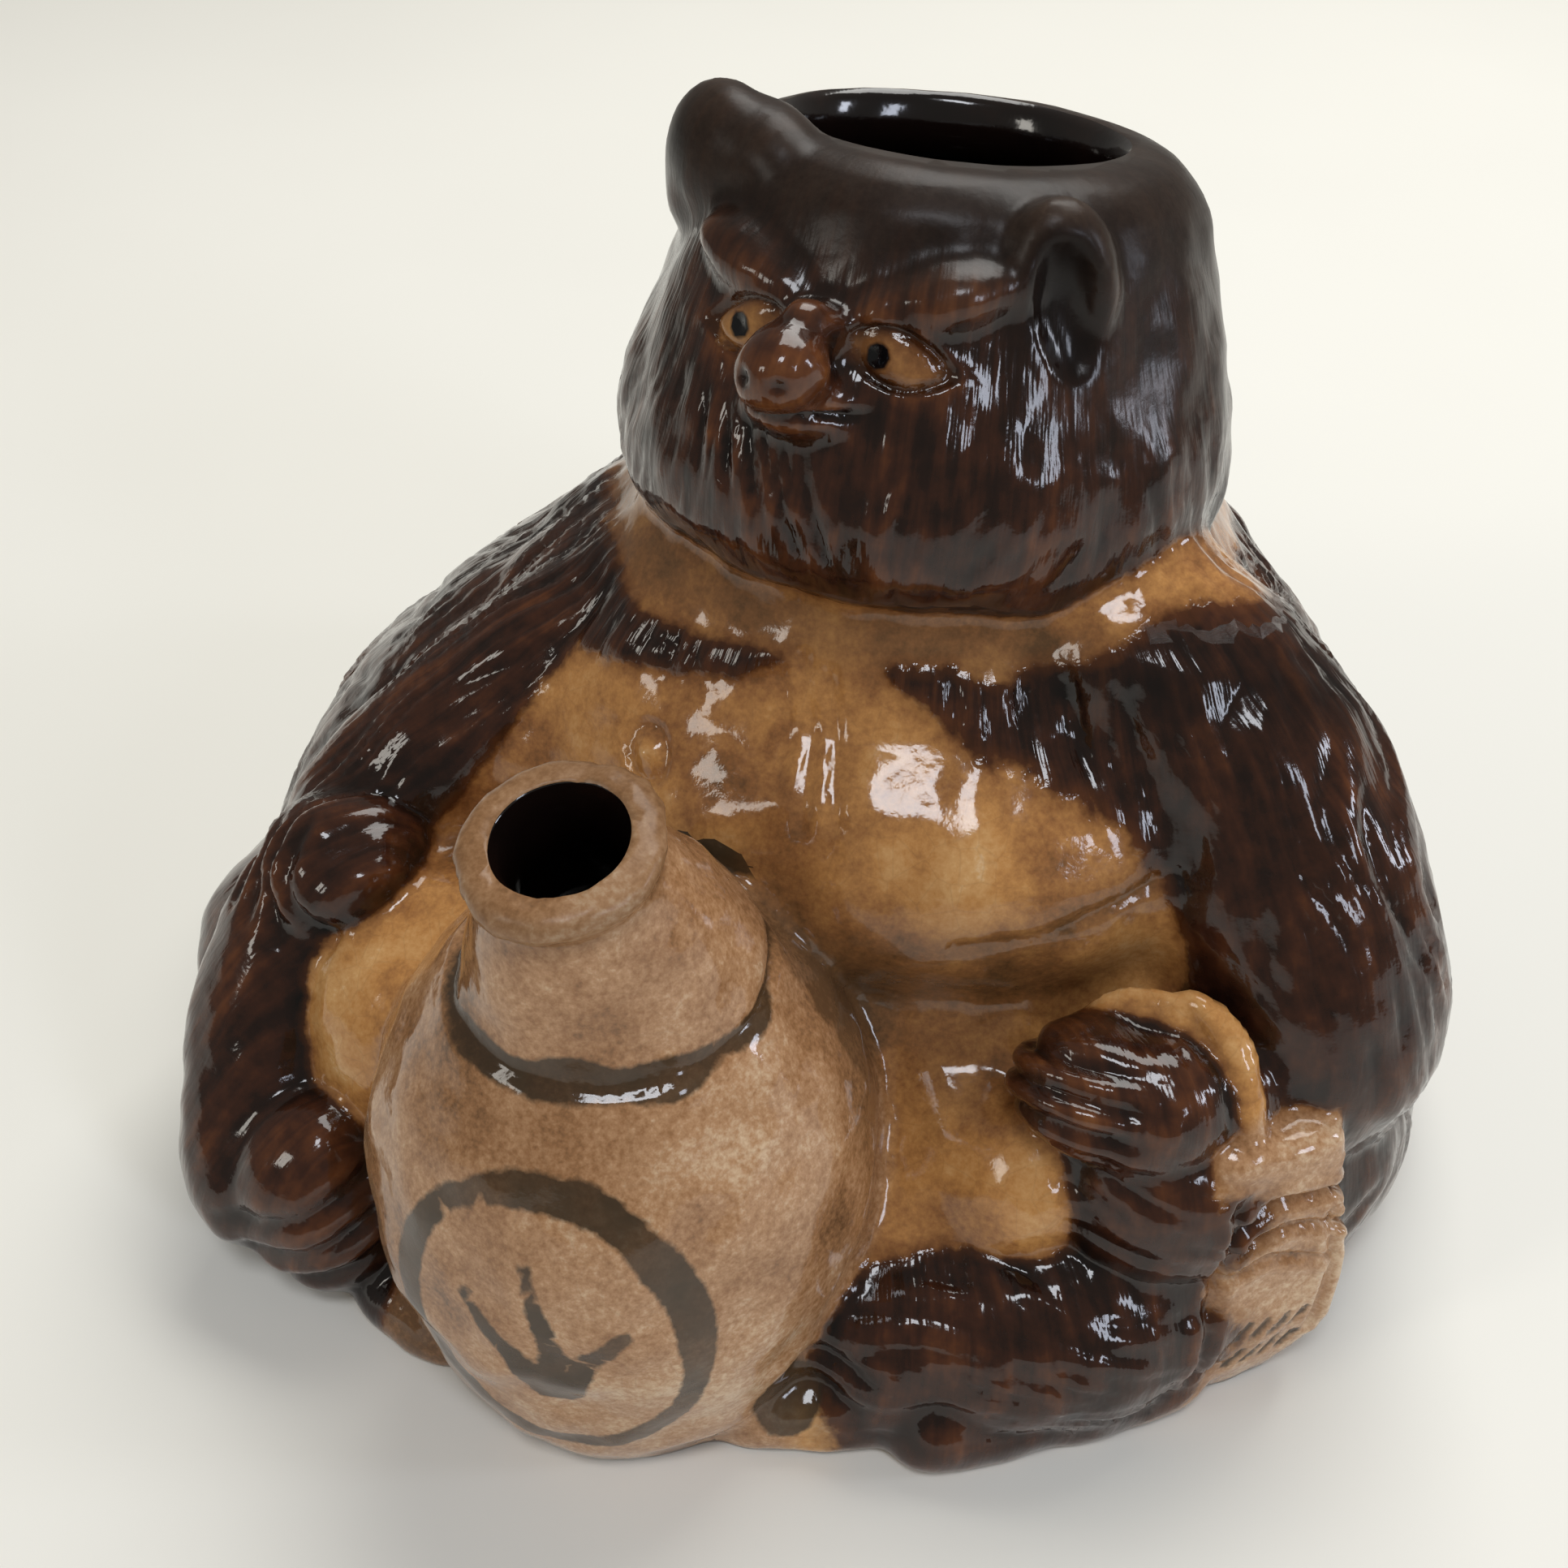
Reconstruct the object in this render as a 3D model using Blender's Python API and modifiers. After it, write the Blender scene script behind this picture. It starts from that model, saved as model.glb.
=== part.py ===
"""Figural sake bottle: a seated raccoon dog of glazed stoneware, one hollow fired piece.

The head is cut open at the crown to fill it, and the flask between the feet is the spout.
The figure faces -Y, its left side is +X, and it stands on z = 0.
"""
import math

import bmesh
import bpy
import numpy as np
from mathutils import Euler, Matrix, Vector

# Driving dimensions, in metres
FIGURE_WIDTH = 0.161
WALL = 0.0050
CROWN_BORE = 0.0345
CROWN_RIM = 0.0070
FLASK_HEIGHT = 0.0796
FLASK_DIAMETER = 0.0570
FLASK_FOOT = 0.0460
NECK_HEIGHT = 0.0208
NECK_DIAMETER = 0.0320
SPOUT_BORE = 0.0124
SPOUT_LIP = 0.0039
GRAIN = 0.0010
OUTSIDE_TRIANGLES = 7700
INSIDE_TRIANGLES = 1500

# The figure's pose, proportions and carving are shares of its width. One unit is a 161st of it,
# and every number below that is not in metres is in these units or in degrees.
UNIT = FIGURE_WIDTH / 161.0
WALL_UNITS = WALL / UNIT

# The torso's level sections: height, middle x, middle y, side, front and back reach
TORSO = [
    (-6, 1, 4, 72, 62, 66),
    (0, 2, 4, 78, 67, 71),
    (7, 2, 4, 80.5, 69, 74),
    (16, 2, 4, 80.5, 67, 75),
    (25, 2.5, 5, 78.5, 58, 74),
    (35, 3, 6, 74, 46, 71),
    (45, 5, 7, 67, 40, 65),
    (55, 6, 8, 58, 42, 58),
    (65, 8, 9, 48, 40, 49),
    (74, 9, 10, 39, 36, 41),
    (82, 10, 11, 32, 32, 33),
    (92, 10, 11, 29, 29, 29),
]

# The head stands on its own axis, tilted back and turned to the figure's right
HEAD_FOOT = (10.8, 9.5, 89.5)
HEAD_TILT = -10
HEAD_TURN = -6
HEAD_HEIGHT = 31.5

# Hands and feet: an oval each, with the direction its digits lie in, the one they are rowed in, and
# the places of the grooves between them as shares of the oval
PAWS = [
    {"centre": (50, -37.5, 43), "radii": (12.4, 8.4, 7.2), "turn": (0, 6, 14),
     "tip": (-1, -0.3, 0), "row": (0.1, 0.6, 0.8), "grooves": (-0.45, 0.0, 0.45)},
    {"centre": (-42, -39.5, 45.6), "radii": (10, 9.6, 7.4), "turn": (0, -20, -20),
     "tip": (-0.2, -1, -0.3), "row": (1, -0.2, 0.2), "grooves": (-0.55, -0.15)},
    {"centre": (32, -53, 10.5), "radii": (11, 10, 10), "turn": (0, 0, -14),
     "tip": (-1, -0.2, 0.2), "row": (0.1, -0.3, 1), "grooves": (-0.3, 0.2, 0.65)},
    {"centre": (-36, -62, 14), "radii": (10.5, 10, 14.5), "turn": (0, 0, 20),
     "tip": (0.5, -1, 0), "row": (-0.3, 0, 1), "grooves": (-0.4, 0.0, 0.4)},
]

# Creases on the front, each a line of (x, height) points, its half width and its depth
CREASES = [
    ([(31, 55), (41, 57), (51, 61)], 0.9, 0.7),
    ([(7, 76), (9, 72), (9.5, 68)], 0.8, 0.4),
    ([(9, 78), (12, 71), (13.5, 65)], 0.8, 0.6),
    ([(12, 77), (14.5, 71), (17, 66)], 0.8, 0.6),
]
NIPPLE = (-6.5, 65, 2.4)

# The account book stands on edge at the figure's left knee. Its level sections: height above its
# middle, left edge, right edge and front face, behind which it runs back into the body
BOOK_PLACE, BOOK_TURN, BOOK_BACK = (68, -35.5, 18), (0, 0, 41), -9
BOOK = [
    (-24, -15, 1, 0.5),
    (-18, -13, 4, 2.0),
    (-12, -10, 8, 3.2),
    (-4, -8, 10, 3.6),
    (4, -8, 9.5, 3.2),
    (12, -9, 8, 2.0),
    (22, -7.5, 6.5, 0.8),
]

EYE = (7.7, 15.9)
EYE_HALF = (4.4, 2.3)
EYE_SLOPE = -0.2
HEAD_PROFILE = [(25, -12), (31, -9), (34, -5), (34.5, 0), (33.5, 6), (31, 13), (28.4, 20), (26.6, 25)]


def frame_at(foot, tilt, turn):
    """The matrix of a form's own frame: stood at foot, tilted about its x axis, then turned about z."""
    spin = Matrix.Rotation(math.radians(turn), 4, "Z") @ Matrix.Rotation(math.radians(tilt), 4, "X")
    return Matrix.Translation(Vector(foot)) @ spin


HEAD = frame_at(HEAD_FOOT, HEAD_TILT, HEAD_TURN)

# The mouth in the crown is a little shallower than it is wide, and lies behind the head's axis
CROWN_CUT = Matrix.Translation((-1.2, 1.0, 0)) @ Matrix.Diagonal((1, 0.94, 1, 1))


def finished(form, matrix):
    """A mesh in metres from a bmesh in units, once matrix has placed it in the figure."""
    bmesh.ops.transform(form, matrix=Matrix.Scale(UNIT, 4) @ matrix, verts=form.verts)
    mesh = bpy.data.meshes.new("form")
    form.to_mesh(mesh)
    form.free()
    return mesh


def ellipsoid(centre, radii, turn=(0, 0, 0), frame=Matrix.Identity(4), shrink=0.0):
    form = bmesh.new()
    bmesh.ops.create_uvsphere(form, u_segments=40, v_segments=24, radius=1.0)
    spin = Euler([math.radians(angle) for angle in turn]).to_matrix().to_4x4()
    sizes = Matrix.Diagonal((*[max(radius - shrink, 0.1) for radius in radii], 1.0))
    return finished(form, frame @ Matrix.Translation(Vector(centre)) @ spin @ sizes)


def lofted(rings):
    """A closed bmesh skinned through rings of equally many points, capped at both ends."""
    form = bmesh.new()
    courses = [[form.verts.new(point) for point in ring] for ring in rings]
    for low, high in zip(courses, courses[1:]):
        for k in range(len(low)):
            after = (k + 1) % len(low)
            form.faces.new((low[k], low[after], high[after], high[k]))
    form.faces.new(list(reversed(courses[0])))
    form.faces.new(courses[-1])
    return form


def turned(profile, frame, steps=56):
    """A solid of revolution about the z axis of frame, from (radius, height) pairs, foot to top."""
    ends = [(0, profile[0][1])] + list(profile) + [(0, profile[-1][1])]
    points = [(radius * UNIT, 0, height * UNIT) for radius, height in reversed(ends)]
    line = bpy.data.meshes.new("profile")
    line.from_pydata(points, [(k, k + 1) for k in range(len(points) - 1)], [])
    holder = bpy.data.objects.new("profile", line)
    bpy.context.scene.collection.objects.link(holder)
    screw = holder.modifiers.new("Turn", "SCREW")
    screw.steps = steps
    screw.render_steps = steps
    screw.use_merge_vertices = True
    screw.merge_threshold = 0.00001
    mesh = evaluated(holder)
    mesh.transform(Matrix.Scale(UNIT, 4) @ frame @ Matrix.Scale(1 / UNIT, 4))
    return mesh


def torso(shrink=0.0, floor=0.0, steps=72):
    """The seated body: level ovals, deeper behind than in front."""
    rings = []
    for height, x, y, side, front, back in TORSO:
        ring = []
        for k in range(steps):
            across = math.cos(2 * math.pi * k / steps)
            along = math.sin(2 * math.pi * k / steps)
            deep = back if along > 0 else front
            ring.append((x + (side - shrink) * across, y + (deep - shrink) * along, max(height, floor)))
        rings.append(ring)
    return finished(lofted(rings), Matrix.Identity(4))


def booklet():
    """The account book, a gently bowed block."""
    rings = [[(left, -BOOK_BACK, up), (left, -front, up), (right, -front, up), (right, -BOOK_BACK, up)]
             for up, left, right, front in BOOK]
    return finished(lofted(rings), placed(BOOK_PLACE, BOOK_TURN))


def limb(points, radii, shrink=0.0):
    """A tapered round limb through points, with rounded ends, as a list of forms."""
    thin = [max(radius - shrink, 0.1) for radius in radii]
    curve = bpy.data.curves.new("limb", "CURVE")
    curve.dimensions = "3D"
    curve.bevel_depth = 1.0
    curve.bevel_resolution = 8
    curve.use_fill_caps = True
    line = curve.splines.new("NURBS")
    line.points.add(len(points) - 1)
    for spot, point, radius in zip(line.points, points, thin):
        spot.co = (*(Vector(point) * UNIT), 1.0)
        spot.radius = radius * UNIT
    line.order_u = 3
    line.use_endpoint_u = True
    holder = bpy.data.objects.new("limb", curve)
    bpy.context.scene.collection.objects.link(holder)
    mesh = evaluated(holder)
    weld = bmesh.new()
    weld.from_mesh(mesh)
    bmesh.ops.remove_doubles(weld, verts=weld.verts, dist=0.00001)
    weld.to_mesh(mesh)
    weld.free()
    return [mesh] + [ellipsoid(points[k], (thin[k],) * 3) for k in (0, -1)]


def evaluated(holder):
    """The mesh that an object's modifiers give; the object itself is removed."""
    bpy.context.view_layer.update()
    graph = bpy.context.evaluated_depsgraph_get()
    mesh = bpy.data.meshes.new_from_object(holder.evaluated_get(graph))
    bpy.data.objects.remove(holder)
    return mesh


def thinned(mesh, triangles):
    """The skin collapsed to about so many triangles."""
    mesh.calc_loop_triangles()
    holder = bpy.data.objects.new("skin", mesh)
    bpy.context.scene.collection.objects.link(holder)
    collapse = holder.modifiers.new("Thin", "DECIMATE")
    collapse.ratio = triangles / len(mesh.loop_triangles)
    return evaluated(holder)


def fused(meshes, grain, rounds):
    """The forms grown together into one closed skin of small faces, its creases softened."""
    whole = bmesh.new()
    for mesh in meshes:
        whole.from_mesh(mesh)
    mesh = bpy.data.meshes.new("fused")
    whole.to_mesh(mesh)
    whole.free()
    holder = bpy.data.objects.new("fused", mesh)
    bpy.context.scene.collection.objects.link(holder)
    skin = holder.modifiers.new("Skin", "REMESH")
    skin.mode = "VOXEL"
    skin.voxel_size = grain
    soften = holder.modifiers.new("Soften", "SMOOTH")
    soften.factor = 0.5
    soften.iterations = rounds
    return evaluated(holder)


def body_forms(shrink=0.0):
    """The great masses of the body, which the cavity follows inside."""
    return [
        torso(shrink, shrink if shrink else -6),
        ellipsoid((15, -3, 55), (43, 36, 22), shrink=shrink),
        ellipsoid((37, -30, 22), (18, 18, 16), shrink=shrink),
        ellipsoid((42, -37, 27.5), (10, 12, 10), shrink=shrink),
        ellipsoid((-27, -39, 28), (20, 21, 19.5), shrink=shrink),
        ellipsoid((-47, -30, 22), (17, 24, 21), (0, 0, -30), shrink=shrink),
        ellipsoid((54, -12, 19), (28, 26, 23), shrink=shrink),
        *limb([(37, -2, 76), (62.5, -8, 59.5), (66, -16, 40)], [14, 16, 15], shrink),
        *limb([(-9, -2, 71), (-30, -12, 58), (-45, -30, 42)], [10, 13, 10], shrink),
    ]


def limb_forms():
    """What stands on the body: hands, legs, the skirt they rest on, and the account book on its strap."""
    return [
        *[ellipsoid(paw["centre"], paw["radii"], paw["turn"]) for paw in PAWS],
        ellipsoid((55, -35, 28), (13.5, 11.5, 15)),
        booklet(),
        ellipsoid((-20, -58, 2), (15, 12.8, 7)),
        *limb([(18, -60.5, 3), (25.7, -58.8, 4), (31.7, -55.6, 4)], [7] * 3),
        *limb([(38.6, -56.3, 4), (49, -49.3, 4), (59.3, -40.5, 4)], [7] * 3),
        *limb([(44, -33, 45), (47, -31, 49), (52, -31, 51), (58, -31, 50.5), (63, -34, 46), (64, -38, 38)],
              [2.1] * 6),
        *limb([(66, -18, 35), (56, -33, 39)], [13, 7.5]),
        *limb([(57, -30, 13), (54, -41, 12.5), (44, -48, 12), (30, -52, 12)], [14, 13, 12.5, 10]),
        *limb([(-46, -42, 38), (-50, -51, 27), (-44, -60, 14)], [9, 10, 11]),
    ]


def crown_radius():
    return (CROWN_BORE / 2 + CROWN_RIM) / UNIT


def head_form():
    rim = crown_radius()
    crown = [(rim + 1, HEAD_HEIGHT - 3.5), (rim - 1.5, HEAD_HEIGHT - 1), (rim - 4, HEAD_HEIGHT)]
    return turned(HEAD_PROFILE + crown, HEAD)


def face_forms():
    """Muzzle, nose, brows and ears, in the head's frame."""
    forms = [ellipsoid((-1.0, -28.6, 10.8), (6.8, 8.2, 4.2), frame=HEAD),
             ellipsoid((-0.8, -35.8, 14.6), (4.9, 4.9, 4.5), frame=HEAD),
             ellipsoid((-0.2, -30.5, 17.4), (3.2, 5.0, 2.8), (-30, 0, 0), HEAD)]
    pairs = [((EYE[0], -25.2, EYE[1]), (5.4, 4, 3.8), (0, 10, 20)),
             ((10.6, -24.4, 21.4), (6.8, 4.4, 3.4), (0, -14, 24)),
             ((5.4, -27, 19.6), (3.4, 3, 2.6), (0, -14, 10))]
    for (x, y, z), radii, turn in pairs:
        for side in (-1, 1):
            forms.append(ellipsoid((x * side, y, z), radii, [angle * side for angle in turn], HEAD))
    forms.append(ellipsoid((19.0, -18.2, 23.2), (5.8, 4.2, 8.2), (0, -14, 40), HEAD))
    forms.append(ellipsoid((-19.4, -15.4, 27.8), (8.8, 5.2, 7.4), (0, -8, -38), HEAD))
    forms.append(ellipsoid((-14.5, -16, 28.6), (9, 5.6, 5.6), (0, 4, -38), HEAD))
    forms.append(ellipsoid((-21.5, -14, 24), (6, 4.8, 6.5), (0, 0, -42), HEAD))
    return forms


def scoops():
    """The hollows of the two ears."""
    return [ellipsoid((22.3, -22.6, 22.2), (3.6, 4.4, 6.8), (0, -16, 40), HEAD),
            ellipsoid((-25.6, -21.6, 28.0), (3.6, 3.6, 4.8), (0, -10, -34), HEAD)]


def flask_frame():
    return frame_at((-0.6, -50.8, 0), 3.5, 0) @ Matrix.Rotation(math.radians(1.2), 4, "Y")


def neck_frame():
    """The neck leans further forward than the body of the flask."""
    root = Matrix.Translation((0, 0, (FLASK_HEIGHT - NECK_HEIGHT) / UNIT))
    lean = Matrix.Rotation(math.radians(10), 4, "X") @ Matrix.Rotation(math.radians(-4.5), 4, "Y")
    return flask_frame() @ root @ lean


def flask_profile():
    """Outer profile of the flask's round body, in units, foot to the root of the neck."""
    belly, foot, neck = FLASK_DIAMETER / 2, FLASK_FOOT / 2, NECK_DIAMETER / 2
    high = FLASK_HEIGHT - NECK_HEIGHT
    metres = [(foot, 0), (0.5 * (foot + belly), 0.13 * high), (0.95 * belly, 0.27 * high),
              (belly, 0.44 * high), (0.985 * belly, 0.58 * high), (0.92 * belly, 0.72 * high),
              (0.80 * belly, 0.84 * high), (0.67 * belly, 0.935 * high), (1.04 * neck, high),
              (0.88 * neck, 1.025 * high)]
    return [(radius / UNIT, height / UNIT) for radius, height in metres]


def neck_profile():
    """Outer profile of the neck, in units, from inside the flask's body to the rolled lip."""
    neck, lip, high = NECK_DIAMETER / 2, SPOUT_BORE / 2 + SPOUT_LIP, NECK_HEIGHT
    throat = lip - 0.45 * SPOUT_LIP
    metres = [(neck, -0.2 * high), (neck, 0), (0.68 * neck + 0.32 * throat, 0.27 * high),
              (0.38 * neck + 0.62 * throat, 0.54 * high), (0.12 * neck + 0.88 * throat, 0.76 * high),
              (throat, 0.86 * high), (lip - 0.0002, 0.90 * high), (lip, 0.94 * high),
              (lip - 0.0003, 0.98 * high), (lip - 0.0010, high)]
    return [(radius / UNIT, height / UNIT) for radius, height in metres]


def flask_cavity():
    """The inside of the flask's round body."""
    bore = SPOUT_BORE / 2 / UNIT
    inner = [(max(radius - WALL_UNITS, bore), max(height, WALL_UNITS))
             for radius, height in flask_profile()[:-1]]
    return turned(inner, flask_frame())


def head_cavity():
    """The head's inside, from below the neck to just under the rim."""
    bore = CROWN_BORE / 2 / UNIT
    inner = [(max(radius - WALL_UNITS, bore), height) for radius, height in HEAD_PROFILE]
    return turned([(20, -24)] + inner, HEAD)


def bore_cutters():
    """The two round mouths, flared where they meet the rims."""
    crown, spout = CROWN_BORE / 2 / UNIT, SPOUT_BORE / 2 / UNIT
    top, lip = HEAD_HEIGHT, NECK_HEIGHT / UNIT
    throat = NECK_DIAMETER / 2 / UNIT - WALL_UNITS
    return [turned([(crown, 8), (crown, top - 3), (crown + 0.5, top - 1), (crown + 1.6, top + 0.4),
                    (crown + 3, top + 6)], HEAD @ CROWN_CUT),
            turned([(throat, -0.4 * lip), (throat, 0), (spout, 0.6 * lip), (spout, lip - 0.8),
                    (spout + 0.5, lip + 0.1), (spout + 1, lip + 6)], neck_frame(), 40)]


def cut_away(mesh, cutter_mesh, cutters=None):
    """The mesh less the cutter's space; the cutter is kept if a collection is given for it."""
    holder = bpy.data.objects.new("solid", mesh)
    cutter = bpy.data.objects.new("cutter", cutter_mesh)
    home = cutters if cutters else bpy.context.scene.collection
    bpy.context.scene.collection.objects.link(holder)
    home.objects.link(cutter)
    cutter.hide_render = True
    cutter.display_type = "WIRE"
    cut = holder.modifiers.new("Cut", "BOOLEAN")
    cut.operation = "DIFFERENCE"
    cut.solver = "EXACT"
    cut.object = cutter
    result = evaluated(holder)
    if not cutters:
        bpy.data.objects.remove(cutter)
    return result


def local_points(coords, frame):
    """Points, in units, as seen in a form's own frame."""
    inverse = np.array(frame.inverted())
    return coords @ inverse[:3, :3].T + inverse[:3, 3]


def bell(value, width):
    return np.exp(-(value / width) ** 2)


def step(value, width):
    """Runs smoothly from 0 to 1 as value runs through zero over about width."""
    return 0.5 + 0.5 * np.tanh(2 * value / width)


def reach(places, points):
    """Each place's distance to the line through points, in whatever plane they are given in."""
    nearest = np.full(len(places), 1e6)
    for start, end in zip(np.array(points, float), np.array(points[1:], float)):
        run = end - start
        share = np.clip((places - start) @ run / (run @ run), 0, 1)
        nearest = np.minimum(nearest, np.linalg.norm(places - start - share[:, None] * run, axis=1))
    return nearest


def placed(centre, turn):
    spin = Euler([math.radians(angle) for angle in turn]).to_matrix().to_4x4()
    return Matrix.Translation(Vector(centre)) @ spin


def digits(coords):
    """The grooves between fingers and between toes."""
    depth = np.zeros(len(coords))
    for paw in PAWS:
        share = local_points(coords, placed(paw["centre"], paw["turn"])) / np.array(paw["radii"])
        row = share @ np.array(paw["row"])
        near = step(1.35 - np.linalg.norm(share, axis=1), 0.3)
        near *= step(share @ np.array(paw["tip"]) + 0.1, 0.5)
        for groove in paw["grooves"]:
            depth += 1.0 * bell(row - groove, 0.11) * near
    return depth


def book_marks(coords):
    """The folds across the head of the book, and rows of short scratched strokes below them."""
    across, deep, up = local_points(coords, placed(BOOK_PLACE, BOOK_TURN)).T
    face = (np.abs(across) < 11) * (deep < 1.5) * (deep > -6) * (np.abs(up) < 24)
    depth = 1.2 * bell(up - 14 + 0.25 * across, 1.0) * step(across + 5, 3)
    depth += 0.8 * bell(up - 9 - 0.25 * across, 1.0) * step(across + 4, 3)
    for row in range(2):
        for k in range(4):
            middle = (2.4 * k - 2.6, -5.5 - 5.0 * row)
            ends = [(middle[0] - 0.9, middle[1] - 1.3), (middle[0] + 0.9, middle[1] + 1.3)]
            depth += 0.45 * bell(reach(np.stack([across, up], axis=1), ends), 0.5)
    return depth * face


def chest_edge(coords):
    """How far a point lies inside the bare chest and belly, left of the fur's edge, in units."""
    x, y, z = coords.T
    rise = np.clip((z - 50) / 30, -0.4, 1)
    half = 40 * np.sqrt(np.maximum(1 - rise ** 2, 0.0))
    return np.where(y < 6, half - np.abs(x - 11.5), -20)


def columns(across, along, spacing, run, seed):
    """Comb strokes: 0 on the ridges and 1 in the grooves, each groove coming and going along its run."""
    place_in = across / spacing + 0.35 * np.sin(along / run * 2.1 + across / spacing * 0.7)
    row = np.round(place_in)
    phase = 2 * math.pi * np.mod(row * 0.618 + seed, 1.0)
    depth = 0.55 + 0.45 * np.sin(2 * math.pi * along / run + phase)
    return depth * bell(place_in - row, 0.2)


def fur_depth(coords):
    """How deep the coat is combed, on the head's ruff and on the back and arms, in units."""
    x, y, z = coords.T
    hx, hy, hz = local_points(coords, HEAD).T
    round_head = np.degrees(np.arctan2(hx, -hy))
    head = columns(round_head, hz, 9.0, 26.0, 1.0) * step(9 - hz, 8) * step(hz + 8, 4)
    lean = np.clip(z / 90, 0, 1)
    round_body = np.degrees(np.arctan2(x - 2 - 8 * lean, -(y - 5 - 6 * lean)))
    body = columns(round_body, z, 8.0, 60.0, 5.0)
    bare = chest_edge(coords)
    coat = step(-bare, 3) * step(80 - z, 4) * step(z - 12, 10)
    coat *= 1 - step(-26 - y, 6) * step(46 - z, 8)
    return 0.5 * head + 0.9 * body * coat


def carve(coords):
    """How far each point of the skin moves out along its normal, in units."""
    x, y, z = coords.T
    inside = chest_edge(coords)
    front = step(10 - y, 4)
    move = 0.7 * step(-inside, 1.6) * step(81 - z, 2) * step(z - 34, 8) * front
    move -= fur_depth(coords)
    # the face: eyes set in grooves under their brows, and the mouth under the nose
    hx, hy, hz = local_points(coords, HEAD).T
    for side in (-1, 1):
        across = (hx * side - EYE[0]) / EYE_HALF[0]
        rise = (hz - EYE[1] - EYE_SLOPE * (hx * side - EYE[0])) / (EYE_HALF[1] * (1.1 - 0.3 * across ** 2))
        oval = np.sqrt(across ** 2 + rise ** 2)
        socket = (hy < -20) & (hy > -31.8)
        lid = np.where(socket, bell(oval - 1.2, 0.22), 0)
        ball = np.where(socket, np.clip(1 - oval ** 2, 0, 1), 0)
        move += (0.5 * ball - 0.8 * lid) * step(np.hypot(hx + 0.8, hz - 14.6) - 5.4, 1.2)
    mouth = bell(hz - 10.0 - 0.012 * (hx + 1) ** 2, 0.8) * step(6.4 - np.abs(hx + 1), 2) * (hy < -26)
    move -= 1.1 * mouth
    move -= digits(coords) + book_marks(coords)
    for points, width, depth in CREASES:
        move -= depth * bell(reach(coords[:, [0, 2]], points), width) * (y < -8) * (y > -44)
    spot = np.hypot(x - NIPPLE[0], z - NIPPLE[1])
    move += (0.8 * bell(spot, 0.9) - 0.6 * bell(spot - NIPPLE[2], 0.6)) * (y < -10) * (y > -44)
    return move


def carved(mesh):
    """The skin with its carving pressed in."""
    count = len(mesh.vertices)
    coords = np.empty(3 * count)
    mesh.vertices.foreach_get("co", coords)
    coords = coords.reshape(-1, 3) / UNIT
    normals = np.empty(3 * count)
    mesh.vertex_normals.foreach_get("vector", normals)
    normals = normals.reshape(-1, 3)
    coords += normals * carve(coords)[:, None]
    mesh.vertices.foreach_set("co", (coords * UNIT).ravel())
    mesh.update()


def stood_flat(mesh):
    """Cuts the skin level at z = 0 and closes it with one flat face."""
    form = bmesh.new()
    form.from_mesh(mesh)
    everything = form.verts[:] + form.edges[:] + form.faces[:]
    bmesh.ops.bisect_plane(form, geom=everything, plane_co=(0, 0, 0), plane_no=(0, 0, -1), clear_outer=True)
    bmesh.ops.edgeloop_fill(form, edges=[edge for edge in form.edges if edge.is_boundary])
    form.to_mesh(mesh)
    form.free()


def glaze():
    """Brown stoneware glaze."""
    material = bpy.data.materials.new("brown_glaze")
    material.use_nodes = True
    shader = material.node_tree.nodes["Principled BSDF"]
    shader.inputs["Base Color"].default_value = (0.055, 0.022, 0.012, 1.0)
    shader.inputs["Roughness"].default_value = 0.16
    shader.inputs["Metallic"].default_value = 0.0
    return material


def middle_of(mesh):
    """The matrix that brings the middle of the mesh's box over the origin."""
    low = [min(vertex.co[axis] for vertex in mesh.vertices) for axis in (0, 1)]
    high = [max(vertex.co[axis] for vertex in mesh.vertices) for axis in (0, 1)]
    return Matrix.Translation((-(low[0] + high[0]) / 2, -(low[1] + high[1]) / 2, 0))


def build():
    for thing in list(bpy.data.objects):
        bpy.data.objects.remove(thing)
    collection = bpy.data.collections.new("figural_sake_bottle")
    cutters = bpy.data.collections.new("cutters")
    for group in (collection, cutters):
        bpy.context.scene.collection.children.link(group)
    body = fused(body_forms(), 1.4 * GRAIN, 24)
    flask = turned(flask_profile(), flask_frame())
    neck = turned(neck_profile(), neck_frame())
    outside = fused([body, head_form(), flask, neck] + face_forms() + limb_forms(), GRAIN, 3)
    for scoop in scoops():
        outside = cut_away(outside, scoop)
    outside = fused([outside], GRAIN, 2)
    carved(outside)
    outside = thinned(outside, OUTSIDE_TRIANGLES)
    stood_flat(outside)
    inside = fused(body_forms(WALL_UNITS) + [head_cavity(), flask_cavity()], 1.6 * GRAIN, 6)
    whole = cut_away(outside, thinned(inside, INSIDE_TRIANGLES), cutters)
    for cutter in bore_cutters():
        whole = cut_away(whole, cutter, cutters)
    bottle = bpy.data.objects.new("sake_bottle", whole)
    collection.objects.link(bottle)
    whole.materials.clear()
    whole.materials.append(glaze())
    whole.shade_smooth()
    centring = middle_of(whole)
    for thing in (bottle, *cutters.objects):
        thing.data.transform(centring)
    return bottle


build()
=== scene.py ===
import math
import bmesh
import bpy
import numpy as np
from mathutils import Euler, Matrix, Vector


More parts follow.
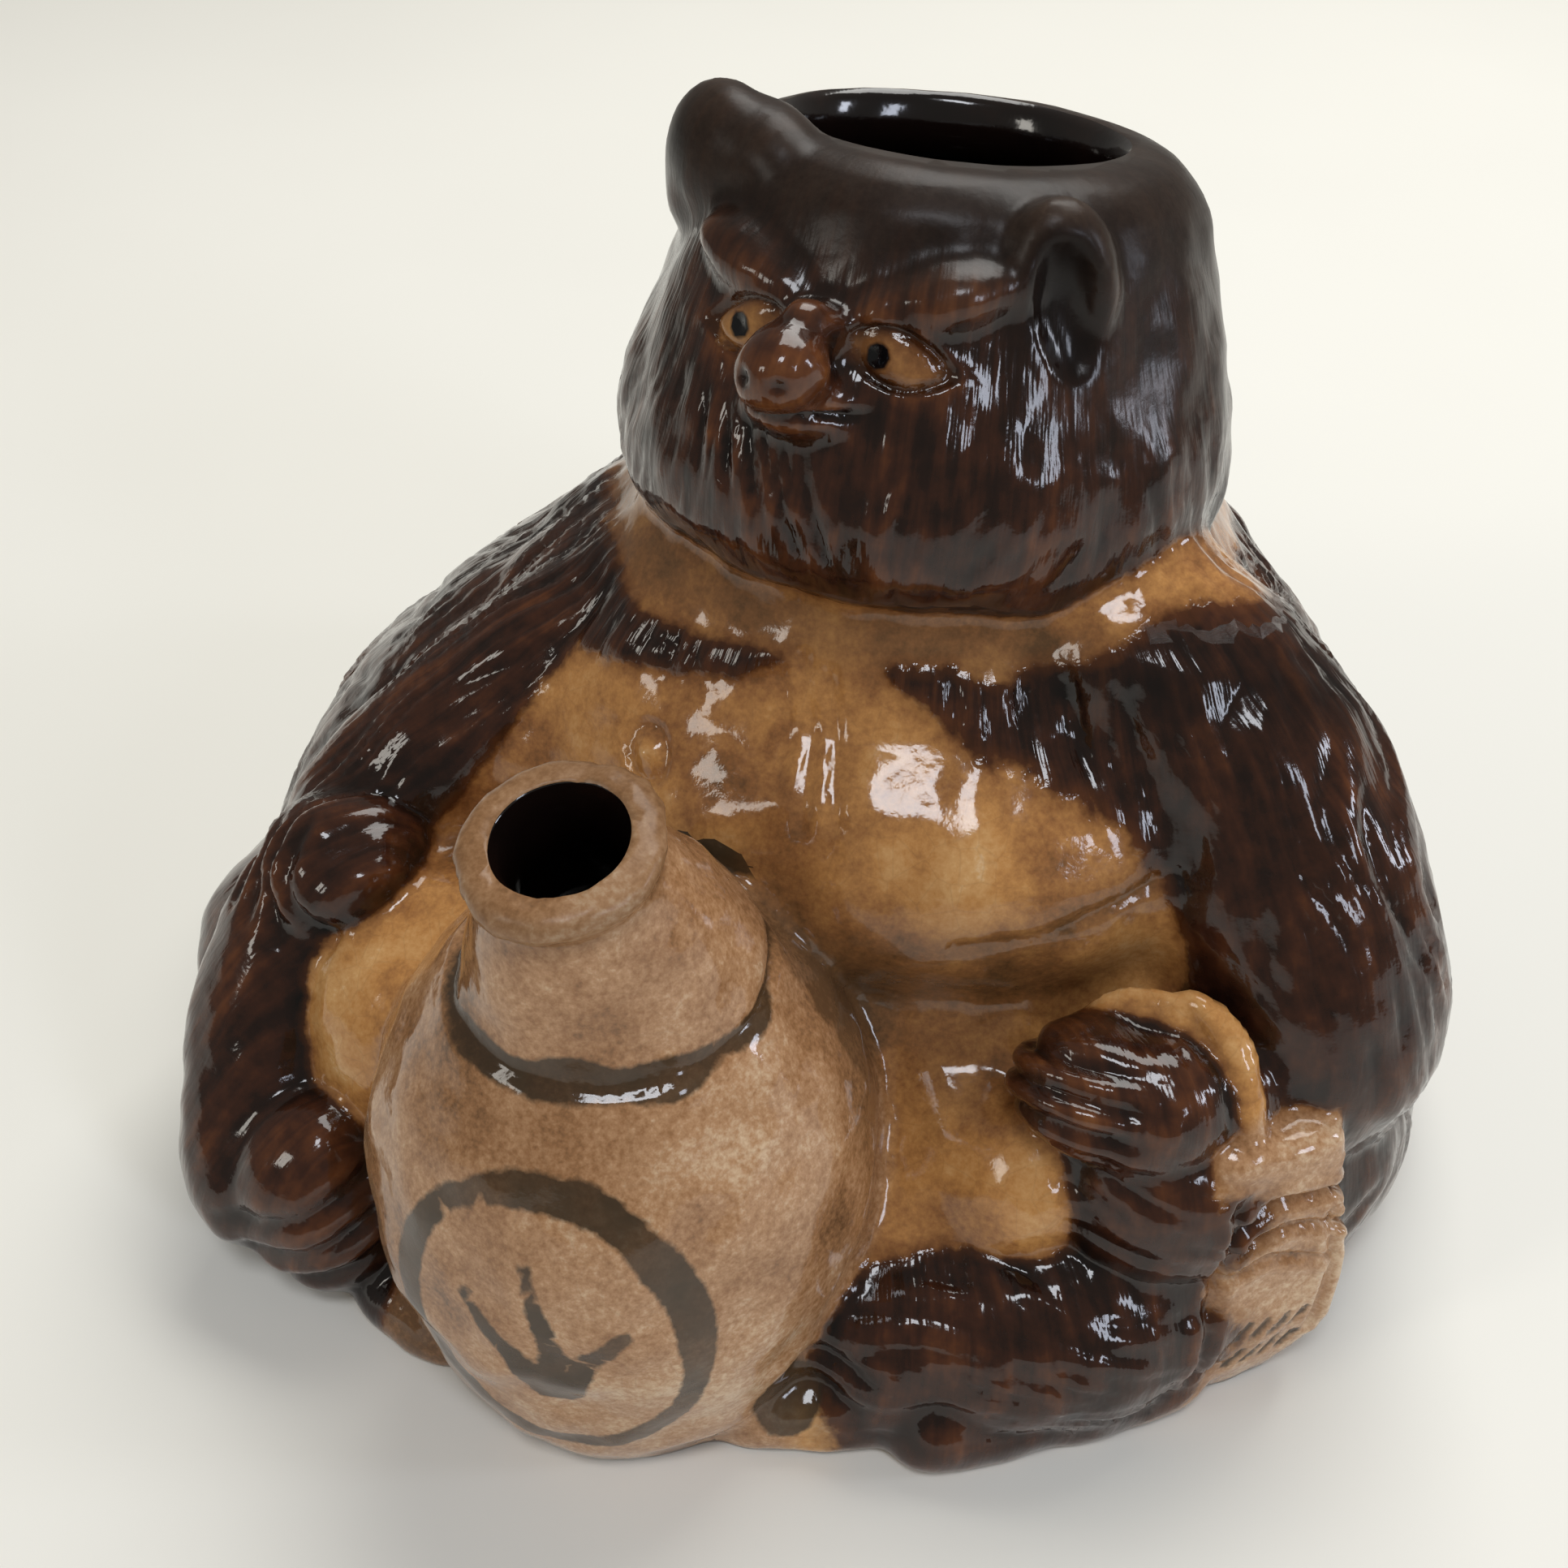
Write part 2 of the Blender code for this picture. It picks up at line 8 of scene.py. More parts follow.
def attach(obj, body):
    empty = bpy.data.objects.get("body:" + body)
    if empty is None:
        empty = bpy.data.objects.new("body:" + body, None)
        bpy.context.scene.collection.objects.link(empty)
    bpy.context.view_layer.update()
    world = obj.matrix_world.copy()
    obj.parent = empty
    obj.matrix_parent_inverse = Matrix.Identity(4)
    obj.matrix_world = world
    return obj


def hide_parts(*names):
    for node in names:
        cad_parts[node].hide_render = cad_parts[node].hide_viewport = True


# A seated raccoon dog in glazed stoneware, holding a flask: one hollow fired piece.
# It is shaped in figure units of about a millimetre, facing -Y, and then moved to the CAD's place.
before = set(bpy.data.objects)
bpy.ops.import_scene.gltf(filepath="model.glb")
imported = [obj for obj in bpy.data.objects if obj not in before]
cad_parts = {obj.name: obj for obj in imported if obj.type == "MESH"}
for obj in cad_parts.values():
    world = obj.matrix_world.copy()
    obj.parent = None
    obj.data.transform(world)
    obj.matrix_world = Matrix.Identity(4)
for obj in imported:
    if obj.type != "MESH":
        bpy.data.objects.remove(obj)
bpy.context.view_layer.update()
print("frame loaded")

unit = 0.001
wall = 5.0

# The skin is worked in clay-sized steps: grain of the modelling, how often the joins of the forms are
# smoothed over, how many faces are kept, and the middle and reach of the finer face
skinPlan = {
    "grain": 0.8, "bodyGrain": 1.12, "insideGrain": 1.6, "faces": 172000, "insideFaces": 9000,
    "smoothing": {"body": 36, "joins": 3, "ears": 2, "inside": 6}, "fineFace": ((9, -22, 110), 20),
}

bodyShape = {
    # level sections of the torso: height, middle x, middle y, side, front and back reach
    "torso": [
        (-6, 1, 4, 72, 62, 66), (0, 2, 4, 78, 67, 71), (7, 2, 4, 80.5, 69, 74),
        (16, 2, 4, 80.5, 67, 75), (25, 2.5, 5, 78.5, 58, 74), (35, 3, 6, 74, 46, 71),
        (45, 5, 7, 67, 40, 65), (55, 6, 8, 58, 42, 58), (65, 8, 9, 48, 40, 49),
        (74, 9, 10, 39, 36, 41), (82, 10, 11, 32, 32, 33), (92, 10, 11, 29, 29, 29),
    ],
    "belly": ((15, -3, 55), (43, 36, 22), (0, 0, 0)),
    "leftArm": ([(37, -2, 76), (62.5, -8, 59.5), (66, -16, 40)], [14, 16, 15]),
    "rightArm": ([(-9, -2, 71), (-30, -12, 58), (-45, -30, 42)], [10, 13, 10]),
    "lobes": [((37, -30, 22), (18, 18, 16), (0, 0, 0)), ((-27, -39, 28), (20, 21, 19.5), (0, 0, 0)),
              ((42, -37, 27.5), (10, 12, 10), (0, 0, 0))],
    "haunches": [((-47, -30, 22), (17, 24, 21), (0, 0, -30)), ((54, -12, 19), (28, 26, 23), (0, 0, 0))],
    "knee": ((55, -35, 28), (13.5, 11.5, 15), (0, 0, 0)),
    "forearm": ([(66, -18, 35), (56, -33, 39)], [13, 7.5]),
    "leftLeg": ([(57, -30, 13), (54, -41, 12.5), (44, -48, 12), (30, -52, 12)], [14, 13, 12.5, 10]),
    "rightLeg": ([(-46, -42, 38), (-50, -51, 27), (-44, -60, 14)], [9, 10, 11]),
    # the low skirt of clay that joins the feet and the flask at the table
    "skirtOval": ((-20, -58, 2), (15, 12.8, 7), (0, 0, 0)),
    "footSkirt": ([(38.6, -56.3, 4), (49, -49.3, 4), (59.3, -40.5, 4)], [7, 7, 7]),
    "flaskSkirt": ([(18, -60.5, 3), (25.7, -58.8, 4), (31.7, -55.6, 4)], [7, 7, 7]),
}

# Hands and feet: an oval each, the way its digits point, the way they are rowed, and the grooves
pawShapes = [
    {"form": ((50, -37.5, 43), (12.4, 8.4, 7.2), (0, 6, 14)),
     "tip": (-1, -0.3, 0), "row": (0.1, 0.6, 0.8), "grooves": (-0.45, 0.0, 0.45)},
    {"form": ((-42, -39.5, 45.6), (10, 9.6, 7.4), (0, -20, -20)),
     "tip": (-0.2, -1, -0.3), "row": (1, -0.2, 0.2), "grooves": (-0.6, -0.25, 0.1, 0.45)},
    {"form": ((32, -53, 10.5), (11, 10, 10), (0, 0, -14)),
     "tip": (-1, -0.2, 0.2), "row": (0.1, -0.3, 1), "grooves": (-0.3, 0.2, 0.65)},
    {"form": ((-36, -62, 14), (10.5, 10, 14.5), (0, 0, 20)),
     "tip": (0.5, -1, 0), "row": (-0.3, 0, 1), "grooves": (-0.4, 0.0, 0.4)},
]

# Creases on the front: points of (x, height), half width, depth
frontCreases = [
    ([(31, 55), (41, 57), (51, 61)], 0.7, 0.6),
    ([(7, 76), (9, 72), (9.5, 68)], 0.7, 0.5),
    ([(9, 78), (12, 71), (13.5, 65)], 0.7, 0.7),
    ([(12, 77), (14.5, 71), (17, 66)], 0.7, 0.7),
]
nippleSpot = (-6.5, 65, 2.4)

bookShape = {
    "place": (68, -35.5, 18), "turn": (0, 0, 41), "back": 9,
    # height above the middle, left edge, right edge, front face
    "sections": [(-24, -15, 1, 0.5), (-18, -13, 4, 2.0), (-12, -10, 8, 3.2), (-4, -8, 10, 3.6),
                 (4, -8, 9.5, 3.2), (12, -9, 8, 2.0), (22, -7.5, 6.5, 0.8)],
    "strap": [(44, -33, 45), (47, -31, 49), (52, -31, 51), (58, -31, 50.5), (63, -34, 46), (64, -38, 38)],
    "strapRadius": 1.75,
    # folds pressed into the face: points of (across, height), half width, depth
    "creases": [([(-6, 12.5), (0, 15), (8, 13.5)], 0.8, 1.5), ([(-5, 9), (1, 10.5), (9, 8)], 0.7, 1.2),
                ([(-7, 4), (-1, 6.5), (7, 3.5)], 0.6, 0.8), ([(-6, 16), (-7, 2), (-8.5, -10)], 0.8, 0.9),
                ([(6.5, 11), (7.8, 2), (7, -9)], 0.6, 0.7)],
}

headShape = {
    "foot": (10.8, 9.5, 89.5), "tilt": -10, "turn": -6, "height": 31.5,
    "bore": 17.25, "rim": 7.0,
    "profile": [(25, -12), (31, -9), (34, -5), (34.5, 0), (33.5, 6), (31, 13), (28.4, 20), (26.6, 25)],
    # ovals as centre, radii and turn: jaw, nose and its bridge
    "muzzle": [((-1.0, -28.6, 10.8), (6.8, 8.2, 4.2), (0, 0, 0)),
               ((-0.8, -35.8, 14.6), (4.9, 4.9, 4.5), (0, 0, 0)),
               ((-0.2, -30.5, 17.4), (3.2, 5.0, 2.8), (-30, 0, 0))],
    # the same on both sides: eye socket, outer and inner brow
    "bothSides": [((7.4, -25.2, 15.9), (5.4, 4, 3.8), (0, 10, 20)),
                  ((10.6, -24.4, 21.4), (6.8, 4.4, 3.4), (0, -14, 24)),
                  ((5.4, -27, 19.6), (3.4, 3, 2.6), (0, -14, 10))],
    # the left ear, then the right with its ridge and root
    "ears": [((19.0, -18.2, 23.2), (5.8, 4.2, 8.2), (0, -14, 40)),
             ((-19.4, -15.4, 27.8), (8.8, 5.2, 7.4), (0, -8, -38)),
             ((-14.5, -16, 28.6), (9, 5.6, 5.6), (0, 4, -38)),
             ((-21.5, -14, 24.0), (6, 4.8, 6.5), (0, 0, -42))],
    "earScoops": [((22.3, -22.0, 21.6), (3.9, 4.7, 7.6), (0, -20, 40)),
                  ((-25.6, -21.6, 28.0), (3.6, 3.6, 4.8), (0, -10, -34))],
    # eye middle (across, height), half sizes, slope, pupil (across, height) and its radius
    "eyes": [{"side": 1, "middle": (7.7, 15.9), "half": (4.2, 1.95), "slope": -0.2, "pupil": (6.1, 15.9)},
             {"side": -1, "middle": (7.9, 15.9), "half": (4.2, 1.95), "slope": -0.2, "pupil": (9.0, 15.6)}],
    "pupilRadius": 1.3,
}

flaskShape = {
    "foot": (-0.6, -50.8, 0), "lean": 3.5, "sideLean": 1.2, "neckSideLean": -4.5,
    "height": 79.6, "neckHeight": 20.8, "neckLean": 10, "belly": 28.5, "footRadius": 23.0, "neck": 16.0,
    "bore": 6.2, "lip": 3.9, "markTurn": 7, "markHeight": 30.5, "markSize": (16.5, 20.0), "brush": 1.75,
    # blades of the sprig: points of (across, height) from the ring's middle, and half width
    "sprig": [([(0, -8), (-3, 0), (-8, 6)], 1.7), ([(1, -8), (1.5, 2), (-1, 13)], 1.8),
              ([(2, -8), (5, 0), (9, 5)], 1.6)],
    "dab": ((24.0, -64.5, 9.0), 3.6),
}


def frameAt(foot, tilt, turn):
    spin = Matrix.Rotation(math.radians(turn), 4, "Z") @ Matrix.Rotation(math.radians(tilt), 4, "X")
    return Matrix.Translation(Vector(foot)) @ spin


def placed(centre, turn):
    spin = Euler([math.radians(angle) for angle in turn]).to_matrix().to_4x4()
    return Matrix.Translation(Vector(centre)) @ spin


headFrame = frameAt(headShape["foot"], headShape["tilt"], headShape["turn"])
crownShift = Matrix.Translation((-1.2, 1.0, 0)) @ Matrix.Diagonal((1, 0.94, 1, 1))
bookFrame = placed(bookShape["place"], bookShape["turn"])
flaskFrame = (frameAt(flaskShape["foot"], flaskShape["lean"], 0)
              @ Matrix.Rotation(math.radians(flaskShape["sideLean"]), 4, "Y"))
neckFoot = flaskShape["height"] - flaskShape["neckHeight"]
neckFrame = (flaskFrame @ Matrix.Translation((0, 0, neckFoot))
             @ Matrix.Rotation(math.radians(flaskShape["neckLean"]), 4, "X")
             @ Matrix.Rotation(math.radians(flaskShape["neckSideLean"]), 4, "Y"))


def newObject(name, data):
    thing = bpy.data.objects.new(name, data)
    bpy.context.scene.collection.objects.link(thing)
    return thing


def evaluated(holder):
    bpy.context.view_layer.update()
    graph = bpy.context.evaluated_depsgraph_get()
    mesh = bpy.data.meshes.new_from_object(holder.evaluated_get(graph))
    bpy.data.objects.remove(holder)
    return mesh


def worked(mesh, kind, **settings):
    # the mesh as one modifier leaves it
    holder = newObject("clay", mesh)
    step = holder.modifiers.new("step", kind)
    for name, value in settings.items():
        setattr(step, name, value)
    return evaluated(holder)


def finished(form, matrix=Matrix.Identity(4)):
    bmesh.ops.transform(form, matrix=matrix, verts=form.verts)
    mesh = bpy.data.meshes.new("form")
    form.to_mesh(mesh)
    form.free()
    return mesh


def oval(centre, radii, turn=(0, 0, 0), base=Matrix.Identity(4), shrink=0.0):
    form = bmesh.new()
    bmesh.ops.create_uvsphere(form, u_segments=48, v_segments=32, radius=1.0)
    sizes = Matrix.Diagonal((*[max(radius - shrink, 0.1) for radius in radii], 1.0))
    return finished(form, base @ placed(centre, turn) @ sizes)


def lofted(rings):
    form = bmesh.new()
    courses = [[form.verts.new(point) for point in ring] for ring in rings]
    for low, high in zip(courses, courses[1:]):
        for k in range(len(low)):
            after = (k + 1) % len(low)
            form.faces.new((low[k], low[after], high[after], high[k]))
    form.faces.new(list(reversed(courses[0])))
    form.faces.new(courses[-1])
    return form


def turned(profile, base, steps=96):
    # thrown on the wheel: the profile is spun about the form's own z axis
    ends = [(0, profile[0][1])] + list(profile) + [(0, profile[-1][1])]
    points = [(radius, 0, height) for radius, height in reversed(ends)]
    line = bpy.data.meshes.new("profile")
    line.from_pydata(points, [(k, k + 1) for k in range(len(points) - 1)], [])
    mesh = worked(line, "SCREW", steps=steps, render_steps=steps, use_merge_vertices=True,
                  merge_threshold=0.01)
    mesh.transform(base)
    return mesh


def limb(points, radii, shrink=0.0):
    thin = [max(radius - shrink, 0.1) for radius in radii]
    curve = bpy.data.curves.new("limb", "CURVE")
    curve.dimensions = "3D"
    curve.bevel_depth = 1.0
    curve.bevel_resolution = 8
    curve.use_fill_caps = True
    line = curve.splines.new("NURBS")
    line.points.add(len(points) - 1)
    for spot, point, radius in zip(line.points, points, thin):
        spot.co = (*point, 1.0)
        spot.radius = radius
    line.order_u = 3
    line.use_endpoint_u = True
    holder = newObject("limb", curve)
    mesh = evaluated(holder)
    weld = bmesh.new()
    weld.from_mesh(mesh)
    bmesh.ops.remove_doubles(weld, verts=weld.verts, dist=0.01)
    weld.to_mesh(mesh)
    weld.free()
    return [mesh] + [oval(points[k], (thin[k],) * 3) for k in (0, -1)]


def fused(meshes, grain, rounds):
    # the forms luted together into one skin, the joins smoothed over
    whole = bmesh.new()
    for mesh in meshes:
        whole.from_mesh(mesh)
    mesh = bpy.data.meshes.new("fused")
    whole.to_mesh(mesh)
    whole.free()
    skin = worked(mesh, "REMESH", mode="VOXEL", voxel_size=grain)
    return worked(skin, "SMOOTH", factor=0.5, iterations=rounds)


def thinned(mesh, faces):
    mesh.calc_loop_triangles()
    return worked(mesh, "DECIMATE", ratio=min(1.0, faces / len(mesh.loop_triangles)))


def cutAway(mesh, cutterMesh):
    cutter = newObject("cutter", cutterMesh)
    result = worked(mesh, "BOOLEAN", operation="DIFFERENCE", solver="EXACT", material_mode="TRANSFER",
                    object=cutter)
    bpy.data.objects.remove(cutter)
    return result


def torsoForm(shrink=0.0, floor=-6, steps=96):
    rings = []
    for height, x, y, side, front, back in bodyShape["torso"]:
        ring = []
        for k in range(steps):
            across = math.cos(2 * math.pi * k / steps)
            along = math.sin(2 * math.pi * k / steps)
            deep = back if along > 0 else front
            ring.append((x + (side - shrink) * across, y + (deep - shrink) * along, max(height, floor)))
        rings.append(ring)
    return finished(lofted(rings))


def bodyForms(shrink=0.0):
    ovals = [bodyShape["belly"]] + bodyShape["lobes"] + bodyShape["haunches"]
    return [torsoForm(shrink, shrink if shrink else -6), *[oval(*form, shrink=shrink) for form in ovals],
            *limb(*bodyShape["leftArm"], shrink), *limb(*bodyShape["rightArm"], shrink)]


def bookForm():
    back = bookShape["back"]
    rings = [[(left, back, up), (left, -front, up), (right, -front, up), (right, back, up)]
             for up, left, right, front in bookShape["sections"]]
    return finished(lofted(rings), bookFrame)


def strapForms():
    # a doubled cord, so two rounded runs side by side
    forms = []
    for push in (-1.0, 1.0):
        run = [Vector(point) + Vector((0.25, 0.35, 0.75)) * push for point in bookShape["strap"]]
        forms += limb([tuple(point) for point in run], [bookShape["strapRadius"] * 0.62] * len(run))
    return forms


def limbForms():
    return [*[oval(*paw["form"]) for paw in pawShapes],
            oval(*bodyShape["knee"]), bookForm(), *strapForms(), *limb(*bodyShape["forearm"]),
            *limb(*bodyShape["leftLeg"]), *limb(*bodyShape["rightLeg"]), oval(*bodyShape["skirtOval"]),
            *limb(*bodyShape["footSkirt"]), *limb(*bodyShape["flaskSkirt"])]


def headForms():
    rim = headShape["bore"] + headShape["rim"]
    high = headShape["height"]
    crown = [(rim + 1, high - 3.5), (rim - 1.5, high - 1), (rim - 4, high)]
    forms = [turned(headShape["profile"] + crown, headFrame)]
    forms += [oval(*form, headFrame) for form in headShape["muzzle"] + headShape["ears"]]
    for side in (-1, 1):
        for (across, deep, up), radii, (tip, roll, swing) in headShape["bothSides"]:
            turn = (tip, roll * side, swing * side)
            forms.append(oval((across * side, deep, up), radii, turn, headFrame))
    return forms


def flaskProfile():
    # the round body of the flask, up to the root of its neck
    belly, foot, neck, high = flaskShape["belly"], flaskShape["footRadius"], flaskShape["neck"], neckFoot
    return [(foot, 0), (0.5 * (foot + belly), 0.13 * high), (0.95 * belly, 0.27 * high),
            (belly, 0.44 * high), (0.985 * belly, 0.58 * high), (0.92 * belly, 0.72 * high),
            (0.80 * belly, 0.84 * high), (0.67 * belly, 0.935 * high),
            (neck + 0.6, high), (neck - 2, high + 1.5)]


def neckProfile():
    neck, lip, high = flaskShape["neck"], flaskShape["bore"] + flaskShape["lip"], flaskShape["neckHeight"]
    throat = lip - 1.75
    return [(neck, -4), (neck, 0), (0.68 * neck + 0.32 * throat, 0.27 * high),
            (0.38 * neck + 0.62 * throat, 0.54 * high), (0.12 * neck + 0.88 * throat, 0.76 * high),
            (throat, 0.85 * high), (lip - 0.25, 0.89 * high), (lip, 0.93 * high), (lip - 0.2, 0.97 * high),
            (lip - 1.0, high)]


def localPoints(coords, base):
    inverse = np.array(base.inverted())
    return coords @ inverse[:3, :3].T + inverse[:3, 3]


def bell(value, width):
    return np.exp(-(value / width) ** 2)


def rise(value, width):
    # runs smoothly from 0 to 1 as value passes through zero
    return 0.5 + 0.5 * np.tanh(2 * value / width)


def lineGap(places, points):
    nearest = np.full(len(places), 1e6)
    for start, end in zip(np.array(points, float), np.array(points[1:], float)):
        run = end - start
        share = np.clip((places - start) @ run / (run @ run), 0, 1)
        nearest = np.minimum(nearest, np.linalg.norm(places - start - share[:, None] * run, axis=1))
    return nearest


def insideGap(places, corners):
    # signed distance to a closed outline, positive inside
    corners = np.array(corners, float)
    closed = np.vstack([corners, corners[:1]])
    inside = np.zeros(len(places), bool)
    for start, end in zip(closed, closed[1:]):
        crosses = (start[1] > places[:, 1]) != (end[1] > places[:, 1])
        level = (end[0] - start[0]) * (places[:, 1] - start[1]) / (end[1] - start[1] + 1e-9) + start[0]
        inside ^= crosses & (places[:, 0] < level)
    gap = lineGap(places, closed)
    return np.where(inside, gap, -gap)


def combStrokes(across, along, spacing, run, seed):
    # 0 on the ridges and 1 in the grooves of a comb drawn through soft clay
    wander = 0.35 * np.sin(along / run * 2.1 + across / spacing * 0.7)
    placeIn = across / spacing + wander
    row = np.round(placeIn)
    phase = np.sin(row * 12.9898 + seed) * 43758.5453
    phase = (phase - np.floor(phase)) * 2 * math.pi
    depth = 0.55 + 0.45 * np.sin(along / run * 2 * math.pi + phase)
    return depth * np.exp(-((placeIn - row) / 0.2) ** 2)


# The bare front, seen from the front as (x, height): chest, and the gap between the coat's two points
chestOutline = [
    (18.4, 77.4), (22.4, 74.8), (27.6, 72.2), (33.4, 70.4), (38.9, 68.4), (43.6, 66.0), (46.4, 63.4),
    (49.8, 58.9), (52.9, 53.4), (54, 48), (52, 40), (46, 30), (40, 0), (-36, 0), (-36, 40), (-33, 48),
    (-29.9, 53.2), (-27, 58.4), (-23.8, 63.4), (-19.7, 69.3), (-14.1, 71.2), (-5.9, 72.8), (1.3, 74.6),
    (6.7, 77.4), (7.5, 88), (18, 88),
]
# Lower edge of the bare collar round the neck: turn from straight ahead, height in the head's frame
collarEdge = [
    (-180, -12), (-110, -13), (-55, -15.1), (-40, -17.9), (-21, -18.4), (-12, -17.7), (0, -17), (21, -16.4),
    (34, -15.9), (43, -16.3), (50, -14.6), (56, -11.9), (62, -8.9), (72, -6.5), (112, -12), (180, -12),
]


def bareGap(coords):
    x, y, z = coords.T
    hx, hy, hz = localPoints(coords, headFrame).T
    chest = np.minimum(insideGap(np.stack([x, z], axis=1), chestOutline), 6 - y)
    turn = np.degrees(np.arctan2(hx, -hy))
    table = np.array(collarEdge, float)
    collar = hz - np.interp(turn, table[:, 0], table[:, 1])
    return np.maximum(chest, collar)


# Passes of the comb: depth, spacing (degrees round head and body, millimetres on the legs), length, seed
combPasses = {
    "head": [(0.45, 9.0, 22.0, 1.0), (0.26, 3.3, 12.0, 3.0)],
    "body": [(0.75, 8.0, 50.0, 5.0), (0.55, 2.6, 16.0, 9.0)],
    "bodyAslant": [(0.25, 1.7, 11.0, 4.0)],
    "legs": [(0.42, 3.4, 19.0, 2.0), (0.28, 1.8, 11.0, 6.0)],
}
# Slow swells of hand-pressed clay, which is never quite true: length and height
claySwells = [(21.0, 0.22), (13.0, 0.18), (8.5, 0.13), (5.5, 0.07), (3.7, 0.035)]


def combedBy(name, across, along):
    return sum(depth * combStrokes(across, along, *stroke) for depth, *stroke in combPasses[name])


def furDepth(coords):
    x, y, z = coords.T
    hx, hy, hz = localPoints(coords, headFrame).T
    # down the head, deepest in the ruff
    roundHead = np.degrees(np.arctan2(hx, -hy))
    drift = roundHead + 5 * np.sin(hz / 7 + roundHead / 11)
    head = combedBy("head", drift, hz) * rise(9 - hz, 8) * rise(hz + 8, 4)
    # down the coat, in wavering locks
    lean = np.clip(z / 90, 0, 1)
    roundBody = np.degrees(np.arctan2(x - 2 - 8 * lean, -(y - 5 - 6 * lean)))
    drift = roundBody + 2.2 * np.sin(z / 9 + roundBody / 9) + 1.2 * np.sin(z / 4.1 + roundBody / 4)
    body = combedBy("body", drift, z) + combedBy("bodyAslant", drift + z / 5, z)
    low = rise(-26 - y, 6) * rise(46 - z, 8)
    coat = rise(-bareGap(coords), 3) * rise(80 - z, 4) * rise(z - 12, 10) * (1 - low)
    # along the left leg, foot and hand
    bend = z + 2.5 * np.sin(x / 9) + 0.25 * y
    gaps = [ovalGap(coords, *paw["form"]) for paw in pawShapes]
    gaps += [limbGap(coords, *bodyShape[name]) for name in ("leftLeg", "rightLeg")]
    onLegs = rise(1.0 - np.minimum.reduce([ovalGap(coords, *bodyShape["knee"]), *gaps]), 1.0)
    legs = combedBy("legs", bend, x) * low * onLegs * rise(z - 4, 4) * rise(x + 4, 6)
    return head + body * coat + legs


def unevenClay(coords):
    swell = np.zeros(len(coords))
    for k, (length, high) in enumerate(claySwells):
        for turn in range(3):
            angle = 1.3 * k + 2.1 * turn
            way = np.array([math.cos(angle), math.sin(angle), math.sin(1.7 * angle + 0.6)])
            way /= np.linalg.norm(way)
            swell += high * np.sin(coords @ way * 2 * math.pi / length + 2.7 * angle) / 1.7
    return swell


def eyeShares(coords, eye):
    # share of the way out to the eye's rim, and distance from the pupil's middle
    hx, hy, hz = localPoints(coords, headFrame).T
    across = (hx * eye["side"] - eye["middle"][0]) / eye["half"][0]
    lift = (hz - eye["middle"][1] - eye["slope"] * (hx * eye["side"] - eye["middle"][0]))
    lift = lift / (eye["half"][1] * (1.1 - 0.3 * across ** 2))
    share = np.sqrt(across ** 2 + lift ** 2)
    away = np.hypot(hx * eye["side"] - eye["pupil"][0], hz - eye["pupil"][1])
    return np.where((hy < -20) & (hy > -31.8), share, 9.0), away


# Depth of each mark made in the clay, in millimetres
carving = {
    "coatStep": 0.7,  # the coat stands up from the bare front
    "eyeball": 0.4, "eyeRim": 0.7, "lid": 0.1, "pupil": 0.5,
    "lip": 0.2, "mouth": 1.1, "nostril": 0.7, "nostrils": (-2.6, 1.0),
    "nipple": 0.9, "nippleRing": 0.7, "digit": 1.15, "neckLine": 0.6, "stroke": 0.45,
}


def digitGrooves(coords):
    depth = np.zeros(len(coords))
    for paw in pawShapes:
        centre, radii, turn = paw["form"]
        share = localPoints(coords, placed(centre, turn)) / np.array(radii)
        row, tip = share @ np.array(paw["row"]), share @ np.array(paw["tip"])
        near = rise(1.35 - np.linalg.norm(share, axis=1), 0.3) * rise(tip - 0.05, 0.5)
        for groove in paw["grooves"]:
            depth += carving["digit"] * bell(row - groove, 0.10) * near
    return depth


def bookStrokes(coords):
    # gap to rows of short scratched strokes on the book's face
    across, deep, up = localPoints(coords, bookFrame).T
    nearest = np.full(len(coords), 99.0)
    for row in range(2):
        for k in range(4):
            middle = (2.4 * k - 2.6, -5.5 - 5.0 * row)
            ends = [(middle[0] - 0.9, middle[1] - 1.3), (middle[0] + 0.9, middle[1] + 1.3)]
            nearest = np.minimum(nearest, lineGap(np.stack([across, up], axis=1), ends))
    face = (np.abs(across) < 11) * (deep < 1.5) * (deep > -6)
    return np.where(face, nearest, 99.0)


def bookCarving(coords):
    across, deep, up = localPoints(coords, bookFrame).T
    face = (np.abs(across) < 11) * (deep < 1.5) * (deep > -6) * (np.abs(up) < 24)
    places = np.stack([across, up], axis=1)
    depth = np.zeros(len(coords))
    for points, width, deepest in bookShape["creases"]:
        gap = lineGap(places, points)
        depth += deepest * (bell(gap, width) - 0.35 * bell(gap - 2.2 * width, width))
    return depth * face + carving["stroke"] * bell(bookStrokes(coords), 0.5)


